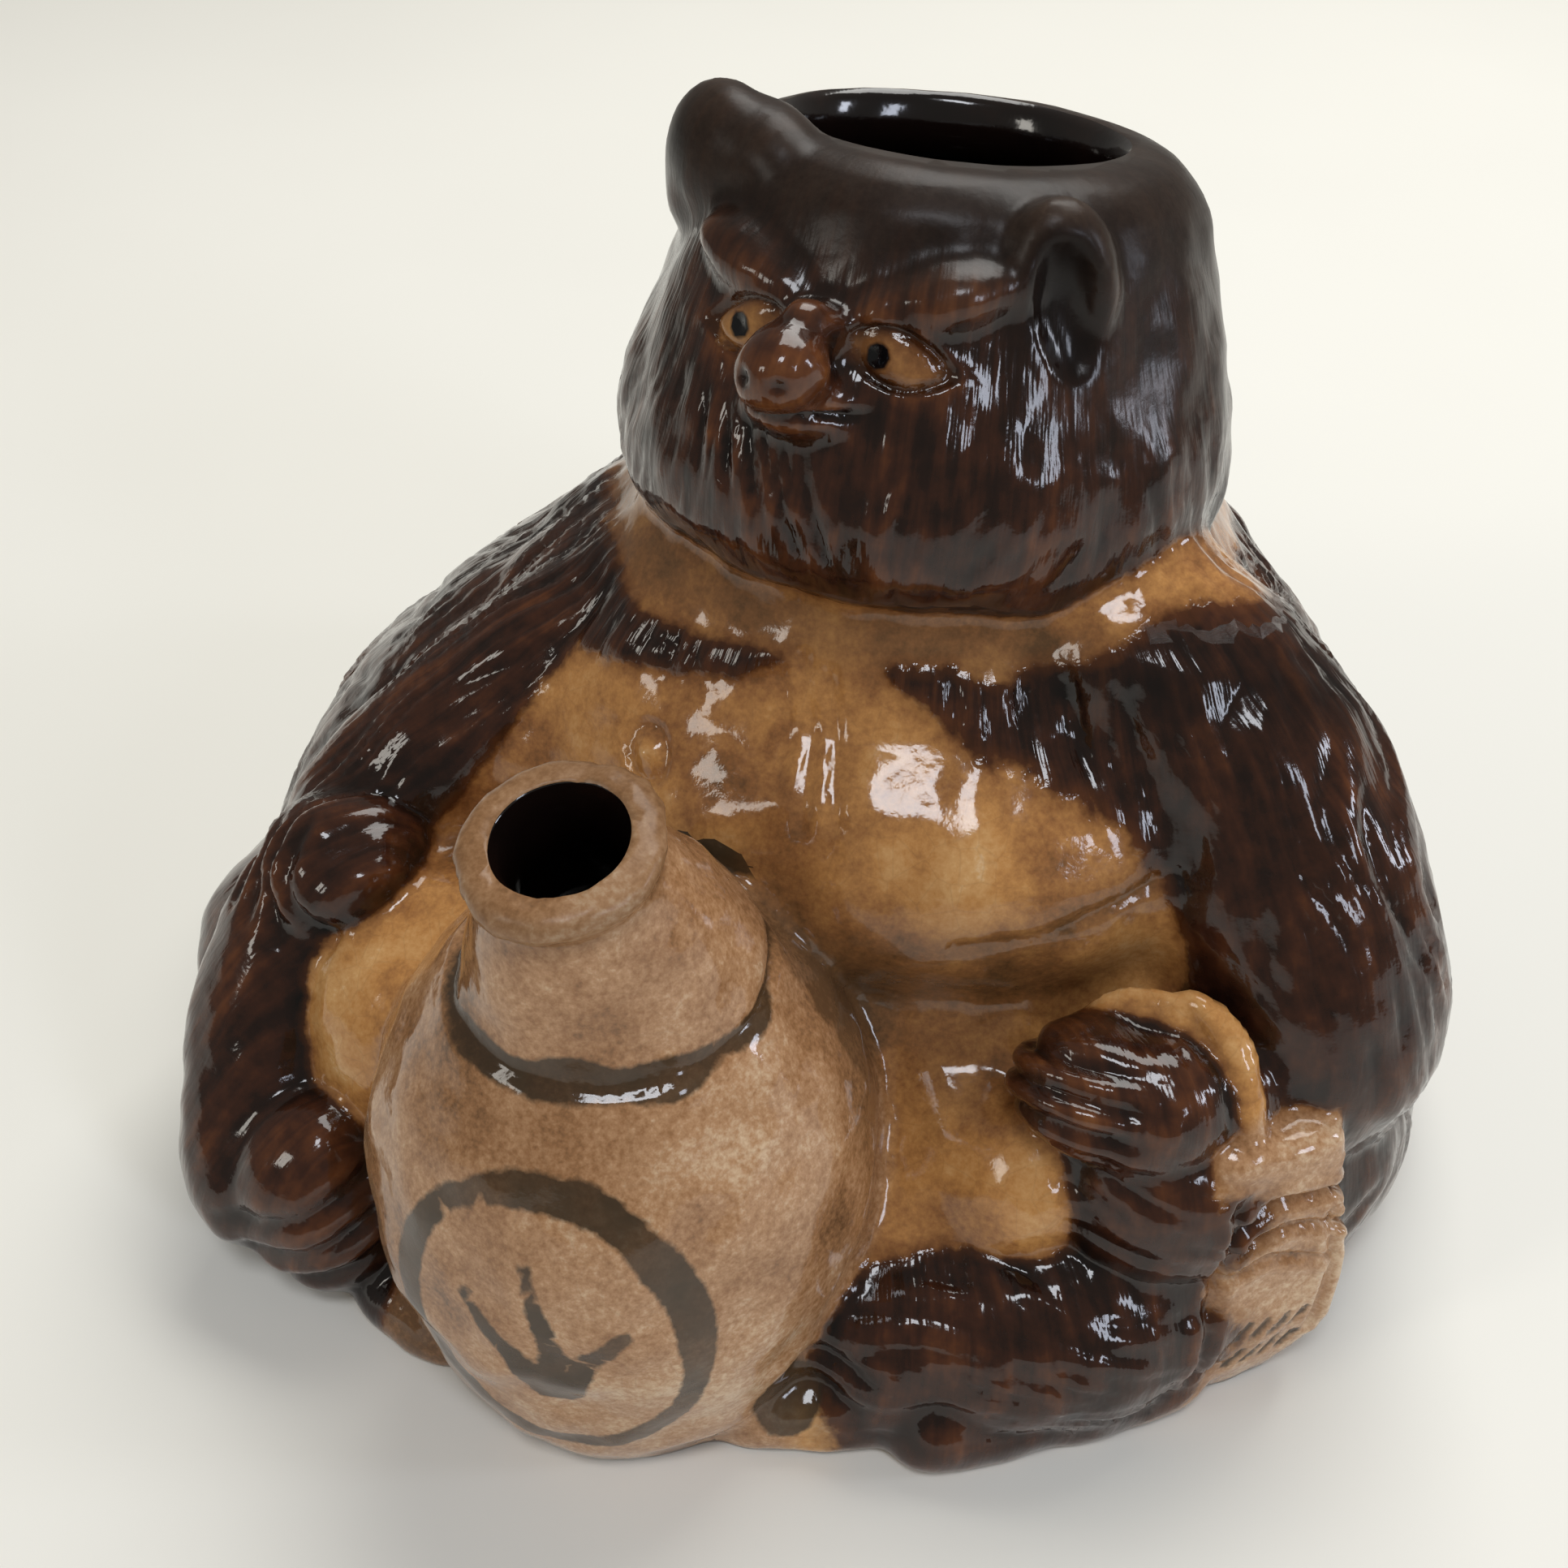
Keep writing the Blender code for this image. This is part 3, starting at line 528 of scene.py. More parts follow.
def carvedBy(coords):
    # how far each point of the skin is pushed out, in millimetres
    x, y, z = coords.T
    hx, hy, hz = localPoints(coords, headFrame).T
    nx, ny, nz = localPoints(coords, neckFrame).T
    fx, fy, fz = localPoints(coords, flaskFrame).T
    belly = (y < -8) * (y > -44)
    stepped = rise(-bareGap(coords), 1.6) * rise(81 - z, 2) * rise(z - 34, 8) * rise(10 - y, 4)
    move = carving["coatStep"] * stepped
    # the crown's rim and the flask's lip were trued by hand
    calm = 1 - 0.8 * np.maximum(rise(hz - 27, 3), rise(nz - 12, 4) * (np.hypot(nx, ny) < 14))
    move += unevenClay(coords) * calm - furDepth(coords)
    clearOfNose = rise(np.hypot(hx + 0.8, hz - 14.6) - 5.4, 1.2)
    for eye in headShape["eyes"]:
        share, away = eyeShares(coords, eye)
        shape = carving["eyeball"] * np.clip(1 - share ** 2, 0, 1)
        shape -= carving["eyeRim"] * bell(share - 1.18, 0.16)
        shape += carving["lid"] * bell(share - 1.6, 0.2)
        shape -= carving["pupil"] * bell(away, 0.8) * (share < 1.3)
        move += shape * clearOfNose
    smile = hz - 10.0 - 0.012 * (hx + 1) ** 2
    mouth = carving["lip"] * bell(smile + 1.7, 0.8) - carving["mouth"] * bell(smile, 0.6)
    move += mouth * rise(6.4 - np.abs(hx + 1), 2) * (hy < -26)
    for nostril in carving["nostrils"]:
        move -= carving["nostril"] * bell(np.hypot(hx - nostril, hz - 14.6), 0.7) * (hy < -36)
    move -= digitGrooves(coords) + bookCarving(coords)
    for points, width, depth in frontCreases:
        move -= depth * bell(lineGap(coords[:, [0, 2]], points), width) * belly
    spot = np.hypot(x - nippleSpot[0], z - nippleSpot[1])
    nipple = carving["nipple"] * bell(spot, 0.9) - carving["nippleRing"] * bell(spot - nippleSpot[2], 0.5)
    move += nipple * (y < -10) * (y > -44)
    onNeck = np.hypot(fx, fy) < flaskShape["neck"] + 2
    return move - carving["neckLine"] * bell(fz - neckFoot - 0.4, 0.7) * onNeck


def pointsOf(mesh):
    flat = np.empty(3 * len(mesh.vertices))
    mesh.vertices.foreach_get("co", flat)
    return flat.reshape(-1, 3)


def normalsOf(mesh):
    flat = np.empty(3 * len(mesh.vertices))
    mesh.vertex_normals.foreach_get("vector", flat)
    return flat.reshape(-1, 3)


def refined(mesh, middle, reach):
    # halves the grain where the work is fine
    form = bmesh.new()
    form.from_mesh(mesh)
    near = {vert for vert in form.verts if (vert.co - Vector(middle)).length < reach}
    edges = [edge for edge in form.edges if edge.verts[0] in near and edge.verts[1] in near]
    bmesh.ops.subdivide_edges(form, edges=edges, cuts=1, use_grid_fill=True)
    near = [vert for vert in form.verts if (vert.co - Vector(middle)).length < reach]
    bmesh.ops.smooth_vert(form, verts=near, factor=0.5, use_axis_x=True, use_axis_y=True, use_axis_z=True)
    form.to_mesh(mesh)
    form.free()


def stoodFlat(mesh):
    form = bmesh.new()
    form.from_mesh(mesh)
    everything = form.verts[:] + form.edges[:] + form.faces[:]
    bmesh.ops.bisect_plane(form, geom=everything, plane_co=(0, 0, 0), plane_no=(0, 0, -1), clear_outer=True)
    bmesh.ops.edgeloop_fill(form, edges=[edge for edge in form.edges if edge.is_boundary])
    form.to_mesh(mesh)
    form.free()


def ovalGap(coords, centre, radii, turn, base=Matrix.Identity(4)):
    local = localPoints(coords, base @ placed(centre, turn))
    near = np.linalg.norm(local / np.array(radii), axis=1)
    steep = np.linalg.norm(local / np.array(radii) ** 2, axis=1)
    return near * (near - 1) / np.maximum(steep, 1e-6)


def limbGap(coords, points, radii):
    # the limb's smooth middle line, sampled as the curve draws it
    count = len(points)
    knots = [0, 0] + list(range(count - 1)) + [count - 2] * 2
    rows = np.array([(*point, radius) for point, radius in zip(points, radii)], float)
    samples = list(rows) if count == 2 else []
    for t in np.linspace(0, count - 2 - 1e-6, 20) if count > 2 else ():
        span = int(t) + 2
        work = [rows[span - 2 + k].copy() for k in range(3)]
        for level in (1, 2):
            for k in range(2, level - 1, -1):
                low, high = knots[span - 2 + k], knots[span + 1 + k - level]
                share = (t - low) / (high - low) if high > low else 0
                work[k] = (1 - share) * work[k - 1] + share * work[k]
        samples.append(work[2])
    nearest = np.full(len(coords), 1e6)
    for start, end in zip(samples, samples[1:]):
        run = end[:3] - start[:3]
        share = np.clip((coords - start[:3]) @ run / max(run @ run, 1e-9), 0, 1)
        away = np.linalg.norm(coords - start[:3] - share[:, None] * run, axis=1)
        nearest = np.minimum(nearest, away - (start[3] + share * (end[3] - start[3])))
    return nearest


def torsoGap(coords):
    x, y, z = coords.T
    table = np.array(bodyShape["torso"], float)
    mx, my, side, front, back = [np.interp(z, table[:, 0], table[:, k]) for k in range(1, 6)]
    deep = np.where(y > my, back, front)
    share = np.hypot((x - mx) / side, (y - my) / deep)
    return (share - 1) * np.minimum(side, deep) * 0.85


def turnedGap(coords, base, profile):
    fx, fy, fz = localPoints(coords, base).T
    table = np.array(profile, float)
    edge = (np.hypot(fx, fy) - np.interp(fz, table[:, 1], table[:, 0])) * 0.85
    return np.maximum(edge, np.maximum(fz - table[-1, 1], table[0, 1] - fz))


def glazeEdges(coords):
    # signed distances in millimetres to where one glaze meets the next
    y, z = coords.T[1:]
    lobes = [ovalGap(coords, *lobe) for lobe in bodyShape["lobes"]]
    flask = np.minimum(turnedGap(coords, flaskFrame, flaskProfile()),
                       turnedGap(coords, neckFrame, neckProfile()))
    across, deep, up = localPoints(coords, bookFrame).T
    table = np.array(bookShape["sections"], float)
    left, right, face = [np.interp(up, table[:, 0], table[:, k]) for k in (1, 2, 3)]
    book = np.maximum.reduce([left - across, across - right, -face - deep, deep - bookShape["back"],
                              np.abs(up) - 23])
    strap = limbGap(coords, bookShape["strap"], [bookShape["strapRadius"] - 0.8] * len(bookShape["strap"]))
    tanForms = np.minimum.reduce([flask, book, strap, *lobes])
    brownForms = np.minimum.reduce([
        turnedGap(coords, headFrame, headShape["profile"]),
        ovalGap(coords, *bodyShape["knee"]),
        *[ovalGap(coords, *form) for form in bodyShape["haunches"]],
        *[ovalGap(coords, *paw["form"]) for paw in pawShapes],
        *[limbGap(coords, *bodyShape[name]) for name in ("forearm", "leftLeg", "rightLeg")]])
    torso = np.minimum.reduce([torsoGap(coords), ovalGap(coords, *bodyShape["belly"]),
                               *[limbGap(coords, *bodyShape[name]) for name in ("leftArm", "rightArm")]])
    bare = np.maximum(bareGap(coords), 1.6 - z)
    tan = np.minimum(tanForms, torso + np.maximum(0, -bare))
    brown = np.minimum(brownForms, torso + np.maximum(0, bare))
    edge = brown - tan
    onHead = localPoints(coords, headFrame)[:, 2] > 4
    edge = np.where(onHead & (z > 90) & (y > -60), -6.0, edge)
    pupil = np.full(len(coords), -9.0)
    for eye in headShape["eyes"]:
        share, away = eyeShares(coords, eye)
        edge = np.maximum(edge, np.where(share < 3, (1 - share) * eye["half"][1], -9))
        pupil = np.maximum(pupil, np.where(share < 1.2, headShape["pupilRadius"] - away, -9))
    others = np.minimum.reduce([torso, brownForms, *lobes])
    return {"coatEdge": edge, "pupilMark": pupil, "flaskEdge": others - flask, "bookEdge": others - book}


def ironMarks(coords):
    # brushed iron brown: a ring and a sprig on the flask, a line round its neck, a dab, the book's strokes
    fx, fy, fz = localPoints(coords, flaskFrame).T
    around = (np.degrees(np.arctan2(fx, -fy)) - flaskShape["markTurn"]) * np.radians(np.hypot(fx, fy))
    up = fz - flaskShape["markHeight"]
    wide, tall = flaskShape["markSize"]
    share = np.hypot(around / wide, up / tall)
    angle = np.arctan2(up / tall, around / wide)
    brush = flaskShape["brush"] * (1 + 0.22 * np.sin(angle * 2 + 0.8) + 0.12 * np.sin(angle * 5))
    onFlask = (turnedGap(coords, flaskFrame, flaskProfile()) < 2.5) & (np.abs(around) < 40)
    mark = brush - np.abs(share - 1) * 0.5 * (wide + tall)
    places = np.stack([around, up], axis=1)
    run = np.clip((up + 8) / 20, 0, 1)
    for points, thick in flaskShape["sprig"]:
        mark = np.maximum(mark, thick * (1.1 - 0.7 * run) - lineGap(places, points))
    turn = np.arctan2(fx, -fy)
    neck = fz - neckFoot - 0.4 - 0.3 * np.sin(3 * turn + 0.5) - 0.2 * np.sin(7 * turn)
    line = 1.25 + 0.45 * np.sin(2 * turn + 1) + 0.25 * np.sin(9 * turn) - np.abs(neck)
    mark = np.where(onFlask, mark, -9)
    mark = np.where(np.hypot(fx, fy) < flaskShape["neck"] + 3.5, np.maximum(mark, line), mark)
    spot, reach = flaskShape["dab"]
    dab = reach - np.linalg.norm((coords - np.array(spot)) * (1, 0.6, 0.7), axis=1)
    return np.maximum.reduce([np.clip(mark, -9, 9), dab, 0.55 - bookStrokes(coords)])


def ridgeShare(mesh):
    # how sharply the skin stands out (+) or dips (-), softened over its neighbours
    points, normals = pointsOf(mesh), normalsOf(mesh)
    pairs = np.empty(2 * len(mesh.edges), np.int64)
    mesh.edges.foreach_get("vertices", pairs)
    first, second = pairs.reshape(-1, 2).T
    run = points[second] - points[first]
    long = np.maximum((run ** 2).sum(axis=1), 1e-4)
    count = len(points)
    bend = -(np.bincount(first, (run * normals[first]).sum(axis=1) / long, count)
             - np.bincount(second, (run * normals[second]).sum(axis=1) / long, count))
    links = np.maximum(np.bincount(first, minlength=count) + np.bincount(second, minlength=count), 1)
    bend = bend / links
    for again in range(6):
        total = np.bincount(first, bend[second], count) + np.bincount(second, bend[first], count)
        bend = 0.4 * bend + 0.6 * total / links
    return np.clip(bend * 6, -1, 1)


def combRun(coords):
    # a place on the coat that is long along the strokes and short across them
    x, y, z = coords.T
    hx, hy, hz = localPoints(coords, headFrame).T
    lean = np.clip(z / 90, 0, 1)
    onHead = hz > -9
    roundBody = np.arctan2(x - 2 - 8 * lean, -(y - 5 - 6 * lean))
    angle = np.where(onHead, np.arctan2(hx, -hy), roundBody)
    reach = np.where(onHead, 32, 60)
    return np.stack([np.cos(angle) * reach, np.sin(angle) * reach, z / 7 + 200 * onHead], axis=1)


def keepShare(mesh, name, values, kind="FLOAT"):
    layer = mesh.attributes.new(name, kind, "POINT")
    layer.data.foreach_set("value" if kind == "FLOAT" else "vector", np.asarray(values, np.float32).ravel())


def toLinear(code):
    parts = [int(code[k:k + 2], 16) / 255 for k in (1, 3, 5)]
    return tuple(p / 12.92 if p <= 0.04045 else ((p + 0.055) / 1.055) ** 2.4 for p in parts) + (1.0,)


def addNode(tree, kind, wires=None, out=0, stops=(), **settings):
    # one node with its settings, links and colour stops; gives back the output asked for
    node = tree.nodes.new("ShaderNode" + kind)
    for name, value in settings.items():
        setattr(node, name, value)
    for name, value in (wires or {}).items():
        if isinstance(value, bpy.types.NodeSocket):
            tree.links.new(value, node.inputs[name])
        else:
            node.inputs[name].default_value = value
    for k, (place, code) in enumerate(stops):
        if k >= len(node.color_ramp.elements):
            node.color_ramp.elements.new(1.0)
        spot = node.color_ramp.elements[k]
        spot.position = place
        spot.color = toLinear(code) if isinstance(code, str) else (code, code, code, 1)
    return node.outputs[out]


# Settings that many nodes share: a colour mix, and a sum of one part weighed and one plain
blended = {"out": 2, "data_type": "RGBA"}
weighed = {"operation": "MULTIPLY_ADD"}
held = {"operation": "MULTIPLY_ADD", "use_clamp": True}


def newMaterial(name):
    material = bpy.data.materials.new(name)
    material.use_nodes = True
    return material, material.node_tree, material.node_tree.nodes["Principled BSDF"]


def stained(tree, colour, share, stain):
    # lays a stain over a colour, as far as its share and its strength go
    strength, code = glazeLook[stain]
    run = addNode(tree, "Math", {0: share, 1: strength}, operation="MULTIPLY")
    return addNode(tree, "Mix", {0: run, 6: colour, 7: toLinear(code)}, **blended)


def perMm(size):
    # noise scale whose lumps are about so many millimetres
    return 1.0 / (size * unit)


glazeColours = {
    # iron-brown glaze: near black where it pools, red brown where it breaks over a ridge
    "brown": [(0.0, "#0E0907"), (0.30, "#23140E"), (0.52, "#3C2115"), (0.74, "#5B341D"), (1.0, "#7E4E2A")],
    # the thin, dry glaze of the forehead, ears and crown
    "dry": [(0.0, "#0F0B09"), (0.45, "#241B16"), (0.75, "#332922"), (1.0, "#4B4036")],
    # clear ash glaze over buff clay
    "tan": [(0.0, "#5C4026"), (0.3, "#95643A"), (0.6, "#BE884E"), (0.85, "#CFA068"), (1.0, "#DAB88E")],
    # the same, paler, on the flask and the book
    "flask": [(0.0, "#6E4E33"), (0.35, "#9B704B"), (0.65, "#B68C66"), (1.0, "#D4B694")],
    # iron brushed on in a wash
    "iron": [(0.0, "#1A150F"), (0.5, "#382B1D"), (1.0, "#574530")],
}


# Grain of the glaze: size in millimetres, detail, roughness; "comb" grains are long along the strokes
grainPlan = {
    "flash": (26, 3.0, 0.55),  # kiln flashing, a few centimetres across
    "cloud": (7, 3.0, 0.55),
    "swell": (2.2, 3.0, 0.55),
    "fine": (2.1, 3.0, 0.55),
    "coatEdgeGrain": (1.6, 3.0, 0.55),
    "brushGrain": (1.3, 3.0, 0.55),
    "speck": (0.75, 2.0, 0.7),  # iron specks of half a millimetre, drawn a little coarse so that they show
}
combPlan = {
    "strand": (1.1, 2.0, 0.55),  # comb strokes about a millimetre apart
    "lock": (3.4, 3.0, 0.55),
}

# How each glaze's colour is placed between its stops: a start, and the weight of each grain or share
glazeMix = {
    "brown": {"start": -0.60, "ridge": 0.34, "strand": 0.55, "lock": 0.6, "cloud": 0.5, "fine": 0.4},
    "dry": {"start": 0.0, "speck": 0.4, "cloud": 0.6, "ridge": 0.3},
    # the ash glaze is pushed darker where glaze ran together and by the painted shade under the belly and in
    # the neck crease
    "tan": {"start": -1.10, "ridge": 0.25, "flash": 1.4, "cloud": 0.95, "speck": 0.5, "fine": 0.35,
            "pooledAndShaded": -0.3},
}

glazeLook = {
    # the first two stains: near black and olive glaze run together, also laid as painted shade under the
    # belly, in the neck crease and in the ear hollows
    "pooledAndShadedBrown": (0.8, "#0E0807"), "pooledAndShadedAsh": (0.5, "#614830"), "amberEdge": (0.55, "#5E3416"),
    "crazing": (0.5, "#7C5B3C"), "pupil": (1.0, "#0C0B0D"), "unglazedFoot": (1.0, "#7B5D41"),
    "crazeSize": 3.2, "crazeWidth": 0.035,  # millimetres, and share of it; coarser than life so that it shows
    "ragged": {"cloud": 2.6, "coatEdgeGrain": 1.5},  # how far the brown's edge strays, in millimetres
    "wiped": (0.0016, 0.0002, 3000.0),  # metres up from the table: by cloud, at least; how sharply it ends
    "roughness": (0.10, 0.05, 0.27),  # by cloud, at least, and more where it is dull
    "sheen": (-0.28, 0.40),  # specular level: less where dull, and elsewhere
    "skin": {"swell": 0.16, "speck": 0.03}, "combed": 0.45,  # heights of grain under the glaze
    "ior": 1.55, "bump": 0.5, "bumpDepth": 0.0006,
}


def glazedStoneware():
    # fired glaze over stoneware: glassy, IOR 1.55, with small pits and a soft wavy skin
    material, tree, shader = newMaterial("glazedStonewareBrownAndAsh")
    look = glazeLook
    place = addNode(tree, "TexCoord", out="Object")
    comb = addNode(tree, "Attribute", out="Vector", attribute_name="combRun")
    field = {}
    for name in ("ridge", "dullGlaze", "pooledAndShaded", "coatEdge", "flaskEdge", "bookEdge", "ironMark",
                 "pupilMark"):
        field[name] = addNode(tree, "Attribute", out="Fac", attribute_name=name)
    for grains, source, step in ((grainPlan, place, unit), (combPlan, comb, 1.0)):
        for name, (size, detail, rough) in grains.items():
            field[name] = addNode(tree, "TexNoise", {"Vector": source, "Scale": 1.0 / (size * step),
                                                     "Detail": detail, "Roughness": rough})
    dull, cloud, speck = field["dullGlaze"], field["cloud"], field["speck"]

    placing, colours = {}, {}
    for name, plan in glazeMix.items():
        total = plan["start"]
        for part, weight in plan.items():
            if part != "start":
                total = addNode(tree, "Math", {0: field[part], 1: weight, 2: total}, **weighed)
        placing[name] = addNode(tree, "Math", {0: total, 1: 0.0}, operation="ADD", use_clamp=True)
        colours[name] = addNode(tree, "ValToRGB", {0: placing[name]}, stops=glazeColours[name])
    specked = addNode(tree, "Math", {0: speck, 1: 0.5, 2: -0.25}, **weighed)
    specked = addNode(tree, "Math", {0: placing["tan"], 1: specked}, operation="ADD", use_clamp=True)
    colours["flask"] = addNode(tree, "ValToRGB", {0: specked}, stops=glazeColours["flask"])

    # brown: dull where it is thin, near black where it has run together and as painted shade in the ear
    # hollows and the neck crease
    brown = addNode(tree, "Mix", {0: dull, 6: colours["brown"], 7: colours["dry"]}, **blended)
    brown = stained(tree, brown, field["pooledAndShaded"], "pooledAndShadedBrown")

    # ash: paler on the flask and the book, olive where it has run together and as painted shade under the
    # belly roll and in the neck crease, crazed with fine brown lines
    onFlask = addNode(tree, "Math", {0: field["flaskEdge"], 1: field["bookEdge"]}, operation="MAXIMUM")
    onFlask = addNode(tree, "Math", {0: onFlask, 1: 0.5, 2: 0.5}, **held)
    pale = addNode(tree, "Mix", {0: onFlask, 6: colours["tan"], 7: colours["flask"]}, **blended)
    pale = stained(tree, pale, field["pooledAndShaded"], "pooledAndShadedAsh")
    craze = addNode(tree, "TexVoronoi", {"Vector": place, "Scale": perMm(look["crazeSize"])},
                    feature="DISTANCE_TO_EDGE")
    craze = addNode(tree, "Math", {0: look["crazeWidth"], 1: craze}, operation="SUBTRACT", use_clamp=True)
    craze = addNode(tree, "Math", {0: craze, 1: 9.0}, operation="MULTIPLY", use_clamp=True)
    pale = stained(tree, pale, craze, "crazing")

    # the edge between them is a little ragged, and amber where the brown thins out
    edge = field["coatEdge"]
    for name, reach in look["ragged"].items():
        wave = addNode(tree, "Math", {0: field[name], 1: reach, 2: -0.5 * reach}, **weighed)
        edge = addNode(tree, "Math", {0: edge, 1: wave}, operation="ADD")
    bare = addNode(tree, "Math", {0: edge, 1: 1.1, 2: 0.5}, **held)
    bare = addNode(tree, "ValToRGB", {0: bare}, stops=[(0.15, 0.0), (0.85, 1.0)])
    rim = addNode(tree, "Math", {0: edge, 1: 0.7}, operation="MULTIPLY")
    rim = addNode(tree, "Math", {0: rim}, operation="ABSOLUTE")
    rim = addNode(tree, "Math", {0: 1.0, 1: rim}, operation="SUBTRACT", use_clamp=True)
    colour = addNode(tree, "Mix", {0: bare, 6: brown, 7: pale}, **blended)
    colour = stained(tree, colour, rim, "amberEdge")

    # brushed iron, washed thinner in places
    brushed = addNode(tree, "Math", {0: field["brushGrain"], 1: 0.9, 2: -0.45}, **weighed)
    brushed = addNode(tree, "Math", {0: field["ironMark"], 1: brushed}, operation="ADD")
    brushed = addNode(tree, "Math", {0: brushed, 1: 2.2, 2: 0.4}, **held)
    washed = addNode(tree, "Math", {0: cloud, 1: 0.7, 2: 0.55}, **held)
    washed = addNode(tree, "Math", {0: brushed, 1: washed}, operation="MULTIPLY")
    iron = addNode(tree, "ValToRGB", {0: cloud}, stops=glazeColours["iron"])
    colour = addNode(tree, "Mix", {0: washed, 6: colour, 7: iron}, **blended)

    pupil = addNode(tree, "Math", {0: field["pupilMark"], 1: 3.0, 2: 0.5}, **held)
    colour = stained(tree, colour, pupil, "pupil")

    # the glaze was wiped off just above the table
    above = addNode(tree, "SeparateXYZ", {0: place}, "Z")
    byCloud, least, sharp = look["wiped"]
    foot = addNode(tree, "Math", {0: cloud, 1: byCloud, 2: least}, **weighed)
    foot = addNode(tree, "Math", {0: foot, 1: above}, operation="SUBTRACT")
    foot = addNode(tree, "Math", {0: foot, 1: sharp}, operation="MULTIPLY", use_clamp=True)
    colour = stained(tree, colour, foot, "unglazedFoot")
    tree.links.new(colour, shader.inputs["Base Color"])

    byCloud, least, byDull = look["roughness"]
    rough = addNode(tree, "Math", {0: cloud, 1: byCloud, 2: least}, **weighed)
    rough = addNode(tree, "Math", {0: dull, 1: byDull, 2: rough}, **held)
    tree.links.new(rough, shader.inputs["Roughness"])
    byDull, most = look["sheen"]
    level = addNode(tree, "Math", {0: dull, 1: byDull, 2: most}, **weighed)
    tree.links.new(level, shader.inputs["Specular IOR Level"])
    shader.inputs["IOR"].default_value = look["ior"]

    combed = addNode(tree, "Math", {0: 1.0, 1: bare}, operation="SUBTRACT")
    soft = addNode(tree, "Math", {0: dull, 1: -look["combed"], 2: look["combed"]}, **weighed)
    combed = addNode(tree, "Math", {0: combed, 1: soft}, operation="MULTIPLY")
    high = addNode(tree, "Math", {0: field["strand"], 1: combed}, operation="MULTIPLY")
    for name, weight in look["skin"].items():
        high = addNode(tree, "Math", {0: field[name], 1: weight, 2: high}, **weighed)
    skin = addNode(tree, "Bump", {"Height": high, "Strength": look["bump"], "Distance": look["bumpDepth"]})
    tree.links.new(skin, shader.inputs["Normal"])
    return material


# Plain finishes: colour stops, lumps in millimetres, roughness, IOR
plainPlan = {
    # iron glaze swilled round the inside and poured out: glossy, near black in the shade
    "glazedStonewareInside": ([(0.0, "#080606"), (0.6, "#150C09"), (1.0, "#2A160D")], 6, 0.12, 1.55),
    # the foot wiped clean before firing: dry, pale and sandy
    "unglazedStonewareFoot": ([(0.0, "#9C7C5A"), (0.5, "#B79873"), (1.0, "#CDB492")], 1.2, 0.85, 1.5),
    # pressed paper, matte, its mottle too wide to be read as a pattern
    "matteStudioPaper": ([(0.3, "#E8E6DE"), (0.7, "#EEECE4")], 300, 0.75, 1.45),
}


def plainFinish(name):
    stops, size, rough, ior = plainPlan[name]
    material, tree, shader = newMaterial(name)
    place = addNode(tree, "TexCoord", out="Object")
    lumps = addNode(tree, "TexNoise", {"Vector": place, "Scale": perMm(size), "Detail": 4.0})
    tree.links.new(addNode(tree, "ValToRGB", {0: lumps}, stops=stops), shader.inputs["Base Color"])
    skin = addNode(tree, "Bump", {"Height": lumps, "Strength": 0.3, "Distance": 0.0005})
    tree.links.new(skin, shader.inputs["Normal"])
    shader.inputs["Roughness"].default_value = rough
    shader.inputs["IOR"].default_value = ior
    return material


def dullShare(coords):
    # the forehead, crown and back of the head took a thinner, duller glaze
    hx, hy, hz = localPoints(coords, headFrame).T
    top = rise(hz - 22.0 - 0.12 * np.abs(hx), 6)
    side = rise(hx - 12, 10) * rise(hz - 6, 10) * rise(hy + 20, 10)
    nx, ny, nz = localPoints(coords, neckFrame).T
    lip = 0.75 * rise(nz - 17, 2) * (np.hypot(nx, ny) < 14)
    return np.clip(0.92 * top + 0.6 * side + lip, 0, 0.92)


def poolingAndShadeShare(coords):
    # glaze run together and fired darker, with painted shade under the belly roll, along its crease, in the
    # neck crease under the ruff and in the ear hollows; also darker on the flask's lip, over the eyes, and
    # low down by the table between the right foot and the flask
    x, y, z = coords.T
    # painted shade under the belly roll, deepest beside the flask's neck
    paintedFoldShade = bell(z - 47 - 0.004 * (x - 12) ** 2, 8) * bell(x - 14, 26) * (y < -8) * (y > -46)
    paintedFoldShade += 1.1 * bell(x - 4, 13) * bell(z - 49, 8) * (y < -8) * (y > -46)
    # painted shade along the belly's crease
    paintedFoldShade += 0.5 * bell(lineGap(coords[:, [0, 2]], frontCreases[0][0]), 3) * (y < -8) * (y > -44)
    hx, hy, hz = localPoints(coords, headFrame).T
    # painted shade in the neck crease under the ruff
    paintedFoldShade += 0.85 * bell(hz + 14, 4) * (hy < 10)
    nx, ny, nz = localPoints(coords, neckFrame).T
    lip = 0.9 * rise(nz - 17, 3) * (np.hypot(nx, ny) < 14)
    skirt = 0.8 * rise(7 - z, 8) * (np.abs(x + 22) < 16) * (y < -45)
    # painted shade in the ear hollows; the eyes darker all over
    hollow = np.zeros(len(coords))
    for scoop in headShape["earScoops"]:
        hollow = np.maximum(hollow, rise(1.0 - ovalGap(coords, *scoop, headFrame), 1.2))
    for eye in headShape["eyes"]:
        hollow = np.maximum(hollow, 0.55 * (eyeShares(coords, eye)[0] < 1.1))
    return np.clip(paintedFoldShade + lip + skirt + hollow, 0, 1)


outerGlaze = glazedStoneware()
innerGlaze = plainFinish("glazedStonewareInside")
bareClay = plainFinish("unglazedStonewareFoot")

